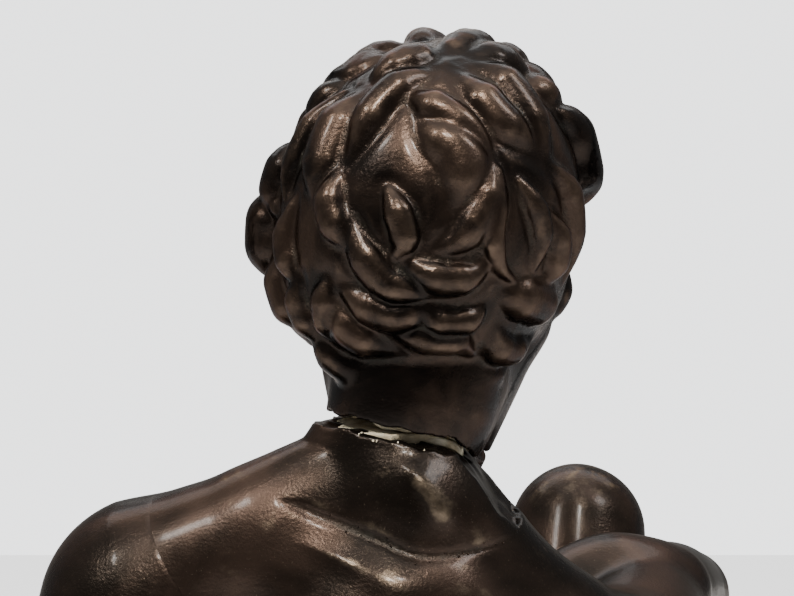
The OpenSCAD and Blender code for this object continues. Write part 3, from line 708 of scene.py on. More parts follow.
def toFace(p):
    # figure centimetres into the face's own frame: it looks along -y, turned to the figure's right
    a = math.radians(hair["turn"])
    c = hair["centre"]
    x, y, z = p[0] - c[0], p[1] - c[1], p[2] - c[2]
    return np.stack([x * math.cos(a) - y * math.sin(a), x * math.sin(a) + y * math.cos(a), z])


def faceSkin(world):
    p = toFace(world)
    d = egg(p, (0, -1, 1), (7.2, 9.2, 9.5))
    d = melt(d, egg(p, (0, -3.2, -2.2), (6.2, 6.7, 6.9)), 1.5)
    for s in (-1, 1):
        add(p, d, [(6.0 * s, 0.6, -3.4, 1.4), (5.3 * s, -1.4, -6.0, 1.5), (3.2 * s, -5.6, -7.8, 1.35),
                   (0.6 * s, -8.2, -8.7, 1.2)], 1.6)
        add(p, d, [(4.3 * s, -6.8, -2.6, 2.3), (3.4 * s, -7.4, -5.0, 1.8)], 1.6)
        add(p, d, [(5.6 * s, -6.0, -0.9, 1.2), (6.6 * s, -3.4, -0.6, 1.1)], 1.0)
        add(p, d, [(4.9 * s, -3.6, -4.2, 2.4), (3.6 * s, -6.0, -6.0, 2.0)], 1.8)
    add(p, d, [(-0.7, -8.8, -8.4, 1.05), (0.7, -8.8, -8.4, 1.05)], 1.2)
    add(p, d, [(-1.2, -8.4, -7.0, 1.3), (1.2, -8.4, -7.0, 1.3)], 1.2)
    # brow ridges, eye sockets
    for s in (-1, 1):
        add(p, d, [(1.2 * s, -9.15, 1.7, 0.6), (3.3 * s, -8.75, 2.25, 0.6), (5.2 * s, -7.1, 1.8, 0.5)], 1.2)
        dig(p, d, [(2.4 * s, -10.6, 0.3, 1.35), (4.2 * s, -9.8, 0.2, 1.35)], 0.9)
    # nose
    add(p, d, [(0, -9.6, 1.3, 0.60), (0, -10.6, -0.8, 0.62), (0, -11.45, -2.4, 0.66)], 0.8)
    add(p, d, [(0, -11.2, -2.7, 0.70), (0, -10.2, -3.0, 0.62)], 0.6)
    for s in (-1, 1):
        add(p, d, [(0.85 * s, -10.5, -2.65, 0.50), (0.95 * s, -9.9, -2.9, 0.50)], 0.7)
        dig(p, d, [(0.50 * s, -10.8, -3.6, 0.22), (0.55 * s, -10.4, -3.1, 0.22)], 0.2)
    # mouth
    add(p, d, [(-2.1, -8.9, -5.6, 0.9), (0, -9.6, -5.5, 1.1), (2.1, -8.9, -5.6, 0.9)], 1.0)
    for s in (-1, 1):
        add(p, d, [(2.25 * s, -9.30, -5.60, 0.28), (1.1 * s, -10.05, -5.28, 0.48),
                   (0.25 * s, -10.35, -5.15, 0.52)], 0.45)
        add(p, d, [(1.9 * s, -9.35, -5.95, 0.34), (0.9 * s, -9.95, -6.25, 0.56), (0, -10.05, -6.3, 0.60)], 0.45)
    add(p, d, [(0, -9.9, -4.6, 0.3), (0, -10.1, -4.2, 0.3)], 0.5)
    dig(p, d, [(-2.4, -9.55, -5.75, 0.08), (-1.2, -10.5, -5.72, 0.13), (0, -10.85, -5.78, 0.15),
               (1.2, -10.5, -5.72, 0.13),
               (2.4, -9.55, -5.75, 0.08)], 0.2)
    for s in (-1, 1):
        crease(p, d, [(1.7 * s, -9.9, -3.2), (2.9 * s, -8.9, -5.0)], 0.10, 0.4)
    # eyes: ball, two lids and a crease above
    for s in (-1, 1):
        eye = (3.15 * s, -7.95, 0.15)
        ball = np.sqrt((p[0] - eye[0]) ** 2 + (p[1] - eye[1]) ** 2 + (p[2] - eye[2]) ** 2)
        m = ball < 3.2
        if m.any():
            q = p[:, m]
            x = (q[0] - eye[0]) * s
            lid = ball[m] - 1.52
            opening = np.abs(q[2] - eye[2] + 0.05 + 0.10 * x) - 0.58 * np.clip(1 - (x / 1.45) ** 2, 0.0, 1)
            lid = np.maximum(lid, -np.minimum(opening, 0.5))
            d[m] = melt(d[m], melt(ball[m] - 1.36, lid, 0.06), 0.28)
        crease(p, d, [(1.7 * s, -9.4, 0.9), (3.2 * s, -9.5, 1.45), (4.8 * s, -8.4, 0.9)], 0.16, 0.32)
    # ears
    for s in (-1, 1):
        add(p, d, [(7.3 * s, -0.9, -2.9, 0.62), (7.9 * s, 0.6, -1.6, 0.5), (8.2 * s, 1.0, 0.2, 0.5),
                   (8.0 * s, 0.2, 1.5, 0.5),
                   (7.5 * s, -1.0, 1.3, 0.45), (7.2 * s, -1.3, 0.1, 0.4)], 0.30)
        add(p, d, [(7.2 * s, -0.2, -0.8, 1.0), (7.2 * s, 0.1, 0.4, 0.9)], 0.5)
        dig(p, d, [(8.1 * s, -0.5, -0.5, 0.5), (8.1 * s, -0.2, 0.5, 0.45)], 0.3)
    return d


headCut = {
    "neckTop": 68,
    "plasterTop": 66,                             # the hole for the plaster and the rod ends here
    "at": 2.0,                                    # the face and the back of the hair are parted here
    "over": 0.35,                                 # how far the two overlap, so that no seam shows
}


def headField(p):
    neck = neckColumn(p)
    neck = np.maximum(neck, crack["gap"] / 2 - overCrack(p))
    neck = np.maximum(neck, p[2] - headCut["neckTop"])
    d = melt(faceSkin(p), neck, 1.2)
    d = melt(d, hairSkin(p), 0.35)
    d = np.maximum(d, -np.maximum(plasterSpace(p), p[2] - headCut["plasterTop"]))
    return np.maximum(d, crack["gap"] / 2 - overCrack(p))


def boxCm(packed, pad=1.2):
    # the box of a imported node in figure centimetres
    low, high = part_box(packed)
    low = (Vector(low) - figureAt) / cm
    high = (Vector(high) - figureAt) / cm
    return [v - pad for v in low], [v + pad for v in high]


detail = {
    "head": 0.142,                                # grid step of each form, in centimetres of life size
    "torsoTop": 0.16,
    "torso": 0.27,
    "arm": 0.17,
    "leg": 0.22,
    "cloth": 0.18,
    "rock": 0.36,
    "plaster": 0.09,
}


def headPieces():
    at, over = headCut["at"], headCut["over"]
    low, high = boxCm("head", 1.6)
    grid = detail["head"] * coarse
    cut = low[1] + round((at - low[1]) / grid) * grid

    def back(p):
        return np.maximum(headField(p), at - over - p[1])

    def front(p):
        return np.maximum(headField(p), p[1] - at - over)

    def edge(p):
        return np.minimum(np.abs(overCrack(p)), np.abs(p[1] - at) + 0.3)

    for name, field, start, end in (("head_hair_back", back, [low[0], cut - 6 * grid, low[2]], high),
                                    ("head_face_front", front, low, [high[0], cut + 6 * grid, high[2]])):
        asPiece(formMesh(name, field, start, end, detail["head"], True, edge), "head", "bronze_head", "head")


headPieces()
report("head")


# ---- torso, arms and legs: one body form, parted at the joint faces ----
limbs = ["armL", "armR", "legL", "legR"]
limbJoint = {
    "grown": 0.9,                                 # how far a limb's cutter stands outside the limb
    "soft": {"arm": 1.4, "leg": 1.6},             # how softly the limb and the torso melt together
    "fadeFrom": 4,                                # down the limb the torso fades out of the blend
    "fadeOver": 10,
    "sink": 3.0,
}


def skinOf(name, p):
    # name is torso, or a limb such as armL
    if name == "torso":
        return torsoSkin(p)
    return (armSkin if name[:3] == "arm" else legSkin)(p, name[3])


def sunk(ahead):
    # how deep the torso's skin has sunk this far down a limb
    return limbJoint["sink"] * np.clip((ahead - limbJoint["fadeFrom"]) / limbJoint["fadeOver"], 0, 1)


def clearOf(p, d, m, names, gap):
    # keeps a form this far off the others, where m is true
    if m.any():
        q = p[:, m]
        inner = d[m]
        for name in names:
            inner = np.maximum(inner, gap - skinOf(name, q))
        d[m] = inner


def limbField(limb):
    at, way = joints[limb]
    grown = limbJoint["grown"]

    def field(p):
        own = skinOf(limb, p)
        ahead = beyond(p, at, way)
        d = own.copy()
        m = (own < grown + 2) & (ahead < 16)
        if m.any():
            d[m] = melt(torsoSkin(p[:, m]) + sunk(ahead[m]), own[m], limbJoint["soft"][limb[:3]])
        d = np.maximum(d, own - grown)
        if limb in ("legL", "armR"):              # these two lie against the raised leg
            clearOf(p, d, d < 2, ["legR"], body["seamWidth"])
        return np.maximum(d, -ahead - 1.0)
    return field


def seamGap(limb):
    # centimetres from the line where a limb meets the torso
    at, way = joints[limb]

    def gap(p):
        own, ahead = skinOf(limb, p) - limbJoint["grown"], beyond(p, at, way)
        line = np.minimum(np.abs(own), np.abs(ahead) + 3 * (own > 1))
        return np.where((ahead > -2) & (ahead < 17), line, 9.0)
    return gap


def cutterField(limb):
    at, way = joints[limb]

    def field(p):
        own, ahead = skinOf(limb, p) - limbJoint["grown"] - body["seamWidth"], beyond(p, at, way)
        return np.maximum(np.maximum(own, -ahead - 1.5), ahead - 14)
    return field


def minus(mesh, tools):
    # the mesh with the tool meshes cut out of it
    work = inScene("work", mesh)
    for shape in tools:
        cut = work.modifiers.new("cut", "BOOLEAN")
        cut.operation = "DIFFERENCE"
        cut.solver = "MANIFOLD"
        cut.object = inScene("tool", shape)
    done = bpy.data.meshes.new_from_object(work.evaluated_get(bpy.context.evaluated_depsgraph_get()))
    name = mesh.name
    for modifier in work.modifiers:
        bpy.data.objects.remove(modifier.object)
    bpy.data.objects.remove(work)
    for shape in [mesh] + tools:
        bpy.data.meshes.remove(shape)
    done.name = name
    done.set_sharp_from_angle(angle=math.radians(48))
    return done


def meshOf(name, work):
    # a bmesh turned into a mesh
    mesh = bpy.data.meshes.new(name)
    work.to_mesh(mesh)
    work.free()
    return mesh


def cutAtFace(mesh, at, way):
    # trims the mesh square at a joint face
    size = 70 * cm
    turn = Vector(way).to_track_quat("Z", "Y").to_matrix().to_4x4()
    block = bmesh.new()
    bmesh.ops.create_cube(block, size=size, matrix=Matrix.Translation(place(*at)) @ turn
                          @ Matrix.Translation((0, 0, -size / 2)))
    return minus(mesh, [meshOf("block", block)])


def limbPiece(name, limb, packed):
    low, high = boxCm(packed, 1.6)
    mesh = formMesh(name, limbField(limb), low, high, detail[limb[:3]], True, seamGap(limb))
    asPiece(cutAtFace(mesh, *joints[limb]), "statuette", "bronze_body", packed)


def torsoField(p):
    d = torsoSkin(p)
    grown = limbJoint["grown"]
    for limb in limbs:
        ahead = beyond(p, *joints[limb])
        m = (ahead < 16) & (d < 12)
        if m.any():
            own = skinOf(limb, p[:, m])
            ahead = ahead[m]
            joined = melt(d[m] + sunk(ahead) * (own < grown), own, limbJoint["soft"][limb[:3]])
            joined = np.maximum(joined, -np.maximum(own - grown + 0.35, 1.2 - ahead))
            far = (ahead > 13) & (own < grown + 0.5)
            joined[far] = np.maximum(joined[far], 1.0)
            d[m] = joined
    d = np.maximum(d, overCrack(p) + crack["gap"] / 2)
    d = np.maximum(d, -np.maximum(plasterSpace(p), figure["plasterFoot"] - p[2]))
    return np.maximum(d, -p[2] - 1.4)


def cutLimbs(mesh, which, reach=19):
    # hairline seams: each limb's form, a little larger, is cut out of the torso
    tools = []
    for limb in which:
        at, way = joints[limb]
        low, high = [v - reach for v in at], [v + reach for v in at]
        shape = formMesh("cutter", cutterField(limb), low, high, detail[limb[:3]], False)
        tools.append(cutAtFace(shape, [at[i] - way[i] * body["seamWidth"] for i in range(3)], way))
    return minus(mesh, tools)


torsoSplit = {
    "at": 43.5,                                   # the torso is made in two halves, parted here
    "over": 1.2,                                  # they overlap this far, each sinking under the other
    "sink": 0.3,
}


def torsoPieces(c):
    at, over = c["at"], c["over"]
    low, high = boxCm("torso", 2.0)
    lines = [seamGap(limb) for limb in limbs]

    def seams(p):
        gap = np.minimum(np.abs(p[2] - at), np.abs(overCrack(p)) + 0.1)
        for line in lines:
            gap = np.minimum(gap, line(p))
        return gap

    def sinking(p, past):
        return torsoField(p) + c["sink"] * np.clip(past / over, 0, 1) ** 2

    def upper(p):
        return np.maximum(sinking(p, at - p[2]), at - over - p[2])

    def lower(p):
        return np.maximum(sinking(p, p[2] - at), p[2] - at - over)

    top = formMesh("torso_upper", upper, [low[0], low[1], at - 1.5], high, detail["torsoTop"], True, seams)
    rest = formMesh("torso_lower", lower, low, [high[0], high[1], at + 1.5], detail["torso"], True, seams)
    asPiece(cutLimbs(top, limbs[:2]), "statuette", "bronze_body", "torso")
    asPiece(cutLimbs(rest, limbs), "statuette", "bronze_body", "torso")


torsoPieces(torsoSplit)
report("torso")
limbPiece("arm_left", "armL", "left_arm")
limbPiece("arm_right", "armR", "right_arm")
report("arms")
limbPiece("leg_left", "legL", "left_leg")
limbPiece("leg_right", "legR", "right_leg")
report("legs")


# ---- plaster in the neck and the body, and the cloth ----
def neckFilling(p):
    # the column, pressed out into the break on the left where it shows as a pale line
    d = plasterSpace(p) + plaster["play"]
    leftPart = np.clip((p[0] - 5.0) / 1.2, 0, 1) * np.clip((9.6 - p[0]) / 0.9, 0, 1)
    above = overCrack(p) + 0.10
    layer = np.maximum(np.abs(above) - 0.30 * leftPart - 0.02, neckSkin(p) + 0.05 + 1.2 * (1 - leftPart)
                       - 0.12 * ripple(p[0], p[1], p[2], 1.3, 5.0))
    d = melt(d, layer, 0.2)
    return d + trowelled(p)


def trowelled(p):
    return 0.05 * ripple(p[0], p[1], p[2], 0.35, 4.0)


def rodHole(p):
    return post(p, figure["rod"], plaster["rodHole"])


def plasterPieces():
    low, high = boxCm("neck_plaster", 1.5)

    def lower(p):
        d = np.maximum(neckFilling(p), overCrack(p) - 0.08)
        return np.maximum(np.maximum(d, 53.75 - p[2]), -rodHole(p))

    def upper(p):
        d = np.maximum(plasterSpace(p) + plaster["play"] + trowelled(p), 0.14 - overCrack(p))
        return np.maximum(np.maximum(d, p[2] - 65.9), -rodHole(p))

    # the filling of the body: the torso's own form, well inside the bronze
    coreLow, coreHigh = boxCm("torso_core", 0.0)

    def inner(p):
        sides = [np.abs(p[i] - (coreLow[i] + coreHigh[i]) / 2) - (coreHigh[i] - coreLow[i]) / 2 + 0.3
                 for i in range(3)]
        return np.maximum.reduce([torsoSkin(p) + 2.4, p[2] - figure["plasterFoot"], *sides])

    grid = detail["plaster"]
    asPiece(formMesh("plaster_torso", inner, coreLow, coreHigh, 0.4, False), "statuette", "plaster",
            "torso_core")
    asPiece(formMesh("plaster_neck", lower, low, high, grid), "statuette", "plaster", "neck_plaster")
    asPiece(formMesh("plaster_head", upper, low, [high[0], high[1], 67.0], grid * 1.3), "head", "plaster",
            "head_core")


def clothField(p):
    lap = [(-0.6, -7.6, 17.6, 3.2), (2.4, -12.6, 15.4, 3.4), (9, -14.5, 16.6, 3.2), (17.4, -13.6, 15.6, 3.4),
           (24.6, -11, 9, 3.0),
           (25, -8, 3.4, 2.8)]
    fold = [(7, -8.6, 18.4, 3.0), (15, -5.6, 17, 3.4), (19.4, -1, 10.5, 3.2), (22, 1.5, 4, 3.4),
            (16, 8.6, 3.6, 3.0)]
    d = melt(smoothRun(p, lap), smoothRun(p, fold), 1.6)
    for i in range(3):                            # what lies between the two runs
        mid = [[(a + b) / 2 for a, b in zip(lap[i + j + 1], fold[i + j])] for j in (0, 1)]
        add(p, d, [(*q[:3], 2.9) for q in mid], 1.6)
    # folds hang over the thigh and gather towards the seat
    u = p[0] * 0.55 - p[1] * 0.30 + p[2] * 0.20
    v = -p[0] * 0.25 + p[1] * 0.35 + p[2] * 0.60
    wave = np.sin(u * 1.35 + 0.9 * np.sin(v * 0.55)) + 0.45 * np.sin(u * 2.9 + v * 0.5 + 1.1)
    d = d - 0.42 * (1 - np.abs(wave) * 1.1)
    clearOf(p, d, d < 2, ["torso", "legL", "legR", "armR"], body["seamWidth"] * 2)
    return np.maximum(d, -p[2] + 0.1)


# ---- rock: rough hewn ground under the figure ----
rock = {
    "rough": 1.1,                                 # height of the broken faces, in centimetres of life size
    "grain": 0.20,
    "edge": [(-10.4, -44), (-17, -26), (-17, -8), (-12, 10), (6, 16), (28, 22), (37, 22), (35, 8), (31, -20),
             (32, -36), (12, -42)],
    "lumps": [(3, 3, -2.4, 6.4), (11, -4, -3.2, 6.0), (30, -33, -1.2, 4.4), (20, -20, -2.4, 4.3),
              (31, 14, -3.2, 4.8), (-9, -30, -3.6, 5.0), (-12, -8, -3.2, 4.8), (6, -34, -3.4, 4.6)],
}


def outline(p, margin):
    # distance to the closed outline, rounded by the margin
    edge = rock["edge"]
    n = len(edge)
    best = np.full(p.shape[1], 1e9, np.float32)
    inside = np.ones(p.shape[1], bool)
    for i in range(n):
        a, b = edge[i], edge[(i + 1) % n]
        ex, ey = b[0] - a[0], b[1] - a[1]
        wx, wy = p[0] - a[0], p[1] - a[1]
        t = np.clip((wx * ex + wy * ey) / (ex * ex + ey * ey), 0, 1)
        best = np.minimum(best, (wx - ex * t) ** 2 + (wy - ey * t) ** 2)
        inside &= (ex * wy - ey * wx) < 0
    return np.where(inside, -np.sqrt(best), np.sqrt(best)) - margin


def broken(p, size, seed):
    # flat chipped facets: the highest of a few tilted planes in each cell of the ground
    total = 0
    for i in range(4):
        a = seed + i * 1.9
        w = (np.sin(p[0] * math.cos(a) / size + seed) + np.sin(p[1] * math.sin(a + 0.7) / size - i)
             + np.sin(p[2] / size + a))
        total = total + np.abs(w - np.floor(w) - 0.5)
    return total / 4 - 0.25


def rockField(p):
    levels = [-7.04, -3.17, 0.0, 1.0]
    margin = np.interp(p[2], levels, [3.05, 1.5, 1.15, -1.2]).astype(np.float32)
    side = outline(p, 0) - margin
    facets = broken(p, 5.2, 1.3)
    small = broken(p, 2.3, 4.1)
    d = np.maximum(side * 0.92, p[2] - 0.75 - 0.5 * ripple(p[0], p[1], 0, 5.0, 1.0))
    for x, y, z, r in rock["lumps"]:
        add(p, d, [(x, y, z, r * 0.96), (x + 0.8, y + 0.5, z, r * 0.9)], 1.4)
    d = d + rock["rough"] * (0.10 + np.clip(facets, -0.2, 0.2) * 2.2) + rock["grain"] * (small * 2.4)
    d = d + 0.05 * ripple(p[0], p[1], p[2], 0.7, 3.0)
    clearOf(p, d, (d < 2) & (p[2] > -6.5), ["torso", "legL", "legR", "armL", "armR"], body["seamWidth"] * 2)
    return np.maximum(d, -7.02 - p[2])


plasterPieces()
report("plaster")
clothLow, clothHigh = boxCm("drapery", 1.6)
asPiece(formMesh("cloth_drapery", clothField, clothLow, clothHigh, detail["cloth"]), "statuette",
        "bronze_drapery", "drapery")
report("drapery")
rockLow, rockHigh = boxCm("rock_base", 1.2)
asPiece(formMesh("rock_ground", rockField, [rockLow[0], rockLow[1], -7.6], rockHigh, detail["rock"]),
        "statuette", "bronze_rock", "rock_base")
report("rock")


# ---- plinth: a polished block with eased arrises ----
plinth = {
    "chamfer": 0.0025,
    "ease": 0.0004,
    "boltWidth": 0.0060,
    "washerWidth": 0.0210,
}


def plinthPiece(c):
    low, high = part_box("plinth")
    size, at = Vector(high) - Vector(low), (Vector(high) + Vector(low)) / 2
    work = bmesh.new()
    bmesh.ops.create_cube(work, size=1)
    for v in work.verts:
        v.co = Vector([v.co[i] * size[i] + at[i] for i in range(3)])
    top = [e for e in work.edges if all(abs(v.co.z - high[2]) < 1e-6 for v in e.verts)]
    bmesh.ops.bevel(work, geom=top, offset=c["chamfer"], segments=1, affect="EDGES")
    sharp = [e for e in work.edges if e.calc_face_angle() > 0.3]
    bmesh.ops.bevel(work, geom=sharp, offset=c["ease"], segments=3, affect="EDGES")
    mesh = meshOf("marble_plinth", work)
    bores = []
    for width, lift in ((c["boltWidth"], 0.1), (c["washerWidth"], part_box("tie_washer")[1][2] - low[2])):
        bore = bmesh.new()
        bmesh.ops.create_cone(bore, cap_ends=True, segments=64, radius1=width / 2, radius2=width / 2,
                              depth=lift + 0.01, matrix=Matrix.Translation((tieAt.x, tieAt.y, low[2] - 0.01
                                                                            + (lift + 0.01) / 2)))
        bores.append(meshOf("bore", bore))
    asPiece(minus(mesh, bores), "statuette", "marble", "plinth")


plinthPiece(plinth)


# ---- node trees: an input is given a value, or another node's output ----
def wire(tree, sockets, values):
    for label, value in values.items():
        if isinstance(value, (int, float, tuple)):
            sockets[label].default_value = value
        else:
            tree.links.new(value, sockets[label])


def node(tree, kind, values, **settings):
    n = tree.nodes.new(kind)
    for label, value in settings.items():
        setattr(n, label, value)
    wire(tree, n.inputs, values)
    return n


def newTree(name, kind, inputs, outputs):
    tree = bpy.data.node_groups.new(name, kind)
    for way, sockets in (("INPUT", inputs), ("OUTPUT", outputs)):
        for label, socket in sockets:
            tree.interface.new_socket(label, in_out=way, socket_type="NodeSocket" + socket)
    return tree, tree.nodes.new("NodeGroupInput").outputs, tree.nodes.new("NodeGroupOutput").inputs


# ---- small repeated pieces, set out with geometry nodes ----
def scatterTree(name, shape):
    tree, start, end = newTree(name, "GeometryNodeTree",
                               [("Points", "Geometry"), ("Size", "Float"), ("Smallest", "Float"),
                                ("Largest", "Float"),
                                ("Turn", "Float"), ("Seed", "Int"), ("Finish", "Material")], [("Pieces",
                                                                                               "Geometry")])
    if shape == "disc":
        form = node(tree, "GeometryNodeMeshCylinder", {"Vertices": 64, "Depth": 0.0016,
                                                       "Radius": start["Size"]})
    else:
        form = node(tree, "GeometryNodeMeshIcoSphere", {"Subdivisions": 2, "Radius": start["Size"]})
    scale = node(tree, "FunctionNodeRandomValue", {0: start["Smallest"], 1: start["Largest"],
                                                   "Seed": start["Seed"]},
                 data_type="FLOAT_VECTOR")
    turn = node(tree, "FunctionNodeRandomValue", {0: (0, 0, 0), 1: start["Turn"], "Seed": start["Seed"]},
                data_type="FLOAT_VECTOR")
    put = node(tree, "GeometryNodeInstanceOnPoints", {"Points": start["Points"],
                                                      "Instance": form.outputs["Mesh"],
                                                      "Scale": scale.outputs[0], "Rotation": turn.outputs[0]})
    real = node(tree, "GeometryNodeRealizeInstances", {"Geometry": put.outputs["Instances"]})
    paint = node(tree, "GeometryNodeSetMaterial", {"Geometry": real.outputs["Geometry"],
                                                   "Material": start["Finish"]})
    wire(tree, end, {"Pieces": paint.outputs["Geometry"]})
    return tree


def scatter(name, points, tree, values, finish, *asked):
    mesh = bpy.data.meshes.new(name + "_points")
    mesh.from_pydata([tuple(q) for q in points], [], [])
    carrier = inScene(name + "_points", mesh)
    mod = carrier.modifiers.new("scatter", "NODES")
    mod.node_group = tree
    values = {**values, "Finish": finish}
    for item in tree.interface.items_tree:
        if item.in_out == "INPUT" and item.name in values:
            mod[item.identifier] = values[item.name]
    done = bpy.data.meshes.new_from_object(carrier.evaluated_get(bpy.context.evaluated_depsgraph_get()))
    done.name = name
    bpy.data.objects.remove(carrier)
    return asPiece(done, *asked)


# ---- finishes ----
def rgb(r, g, b):
    return (r, g, b, 1)


def noise(tree, vector, scale, layers=4, rough=0.55, distort=0.0):
    return node(tree, "ShaderNodeTexNoise", {"Vector": vector, "Scale": scale, "Detail": layers,
                                             "Roughness": rough,
                                             "Distortion": distort}).outputs["Fac"]


def span(tree, value, low, high, start=0.0, end=1.0):
    return node(tree, "ShaderNodeMapRange", {"Value": value, "From Min": low, "From Max": high, "To Min": start,
                                             "To Max": end}, interpolation_type="SMOOTHSTEP").outputs["Result"]


def calc(tree, how, a, b, clamp=False):
    return node(tree, "ShaderNodeMath", {0: a, 1: b}, operation=how, use_clamp=clamp).outputs[0]


def times(tree, a, b):
    return calc(tree, "MULTIPLY", a, b)


def blendColor(tree, factor, a, b):
    return node(tree, "ShaderNodeMix", {0: factor, 6: a, 7: b}, data_type="RGBA").outputs[2]


def ownSpace(tree):
    return tree.nodes.new("ShaderNodeTexCoord").outputs["Object"]


def floats(*labels):
    return [(label, "Float") for label in labels]


def reliefGroup():
    # masks from the shape itself: worn ridges, dirty hollows, and soft blotches over the whole casting; and
    # tiny bright specks that are painted glints
    tree, start, end = newTree("relief", "ShaderNodeTree", floats("Edge", "Hollow", "Blotch Size"),
                               floats("Ridge", "Pit", "Blotch", "Speck"))
    spot = ownSpace(tree)
    height = node(tree, "ShaderNodeAttribute", {}, attribute_name="relief").outputs["Fac"]
    rubbed = calc(tree, "SUBTRACT", noise(tree, spot, 420, 4, 0.6), 0.5)
    raised = calc(tree, "ADD", times(tree, height, start["Edge"]), times(tree, rubbed, 1.1))
    hollow = calc(tree, "SUBTRACT", rubbed, times(tree, height, start["Hollow"]))
    blotch = noise(tree, spot, start["Blotch Size"], 5, 0.5, 0.6)
    # the last mask marks tiny specks where a painted glint goes
    wire(tree, end, {"Ridge": span(tree, raised, 0.18, 1.0), "Pit": span(tree, hollow, 0.22, 0.95),
                     "Blotch": span(tree, blotch, 0.36, 0.66),
                     "Speck": span(tree, noise(tree, spot, 3800, 2, 0.5), 0.66, 0.76)})
    return tree


def castGroup():
    # the skin of a casting as a height: fine grain, pits in the hollows, long shallow hammer marks
    tree, start, end = newTree("castSkin", "ShaderNodeTree", floats("Grain", "Pitting", "Marks", "Pit"),
                               floats("Height"))
    spot = ownSpace(tree)
    grain = times(tree, noise(tree, spot, 2600, 3, 0.6), start["Grain"])
    cells = node(tree, "ShaderNodeTexVoronoi", {"Scale": 3300, "Vector": spot})
    deep = times(tree, times(tree, span(tree, cells.outputs["Distance"], 0.0, 0.55), start["Pitting"]),
                 start["Pit"])
    marks = times(tree, noise(tree, spot, 210, 3, 0.5, 0.4), start["Marks"])
    wire(tree, end, {"Height": calc(tree, "ADD", calc(tree, "ADD", grain, deep), marks)})
    return tree


relief = reliefGroup()
castSkin = castGroup()


def useGroup(tree, group, values):
    return node(tree, "ShaderNodeGroup", values, node_tree=group).outputs


def newFinish(name, metallic, coat=0.0):
    mat = bpy.data.materials.new(name)
    mat.use_nodes = True
    tree = mat.node_tree
    skin = tree.nodes["Principled BSDF"].inputs
    wire(tree, skin, {"Metallic": metallic, "Coat Weight": coat, "Coat Roughness": 0.14})
    return mat, tree, skin


def bump(tree, height, strength, distance):
    return node(tree, "ShaderNodeBump", {"Strength": strength, "Distance": distance,
                                         "Height": height}).outputs["Normal"]


# the worn tone stands for rubbed metal on the ridges and, in tiny specks, for painted glints
bronzeLook = {
    "bronze_head": {
        "dark": rgb(0.008, 0.006, 0.005), "mid": rgb(0.034, 0.022, 0.016), "worn": rgb(0.104, 0.070, 0.049),
        "dust": rgb(0.026, 0.028, 0.022), "rim": rgb(0.34, 0.29, 0.25), "gloss": 0.25,
        "edge": 6.5, "hollow": 5.0, "blotch": 95, "grain": 0.35, "pitting": 1.5, "marks": 0.8, "bump": 0.38},
    "bronze_body": {
        "dark": rgb(0.011, 0.008, 0.006), "mid": rgb(0.036, 0.023, 0.017), "worn": rgb(0.23, 0.175, 0.12),
        "dust": rgb(0.036, 0.034, 0.028), "rim": rgb(0.36, 0.33, 0.29), "gloss": 0.28,
        "edge": 8.0, "hollow": 7.0, "blotch": 60, "grain": 0.45, "pitting": 1.1, "marks": 1.0, "bump": 0.30},
    "bronze_drapery": {
        "dark": rgb(0.010, 0.008, 0.006), "mid": rgb(0.036, 0.027, 0.017), "worn": rgb(0.17, 0.125, 0.075),
        "dust": rgb(0.052, 0.060, 0.044), "rim": rgb(0.34, 0.32, 0.28), "gloss": 0.36,
        "edge": 7.0, "hollow": 7.0, "blotch": 80, "grain": 0.6, "pitting": 1.3, "marks": 0.6, "bump": 0.4},
    "bronze_rock": {
        "dark": rgb(0.008, 0.007, 0.005), "mid": rgb(0.028, 0.022, 0.015), "worn": rgb(0.14, 0.11, 0.065),
        "dust": rgb(0.048, 0.062, 0.046), "rim": rgb(0.32, 0.32, 0.28), "gloss": 0.44,
        "edge": 4.0, "hollow": 4.0, "blotch": 50, "grain": 1.0, "pitting": 1.6, "marks": 0.9, "bump": 0.6},
}


def bronzeFinish(name, c):
    mat, tree, skin = newFinish(name, 0.72, 0.22)
    masks = useGroup(tree, relief, {"Edge": c["edge"], "Hollow": c["hollow"], "Blotch Size": c["blotch"]})
    pit = masks["Pit"]
    color = blendColor(tree, masks["Blotch"], c["dark"], c["mid"])
    # ridges get the worn tone and hollows the dust; the tiny specks in the worn tone are painted glints
    for mask, share, tone in (("Ridge", 0.75, "worn"), ("Pit", 0.55, "dust"), ("Speck", 0.22, "worn")):
        color = blendColor(tree, times(tree, masks[mask], share), color, c[tone])
    rough = calc(tree, "ADD", times(tree, pit, 0.34), times(tree, masks["Blotch"], 0.07))
    height = useGroup(tree, castSkin, {"Grain": c["grain"], "Pitting": c["pitting"], "Marks": c["marks"],
                                       "Pit": pit})
    wire(tree, skin, {"Base Color": color, "Specular Tint": c["rim"], "Specular IOR Level": 0.35,
                      "Roughness": calc(tree, "ADD", rough, c["gloss"], True),
                      "Coat Weight": calc(tree, "SUBTRACT", 0.07, times(tree, pit, 0.07), True),
                      "Metallic": calc(tree, "SUBTRACT", 0.82, times(tree, pit, 0.5), True),
                      "Normal": bump(tree, height["Height"], c["bump"], 0.0004)})
    return mat


def plasterFinish(name, c):
    mat, tree, skin = newFinish(name, 0.0)
    spot = ownSpace(tree)
    masks = useGroup(tree, relief, {"Edge": 6.0, "Hollow": 9.0, "Blotch Size": 260.0})
    color = blendColor(tree, masks["Blotch"], c["pale"], c["stain"])
    wire(tree, skin, {"Base Color": blendColor(tree, times(tree, masks["Pit"], 0.6), color, c["dirt"]),
                      "Roughness": span(tree, noise(tree, spot, 900), 0.3, 0.7, 0.78, 0.95),
                      "Normal": bump(tree, noise(tree, spot, 1900, 6, 0.7), 0.5, 0.0003)})
    return mat


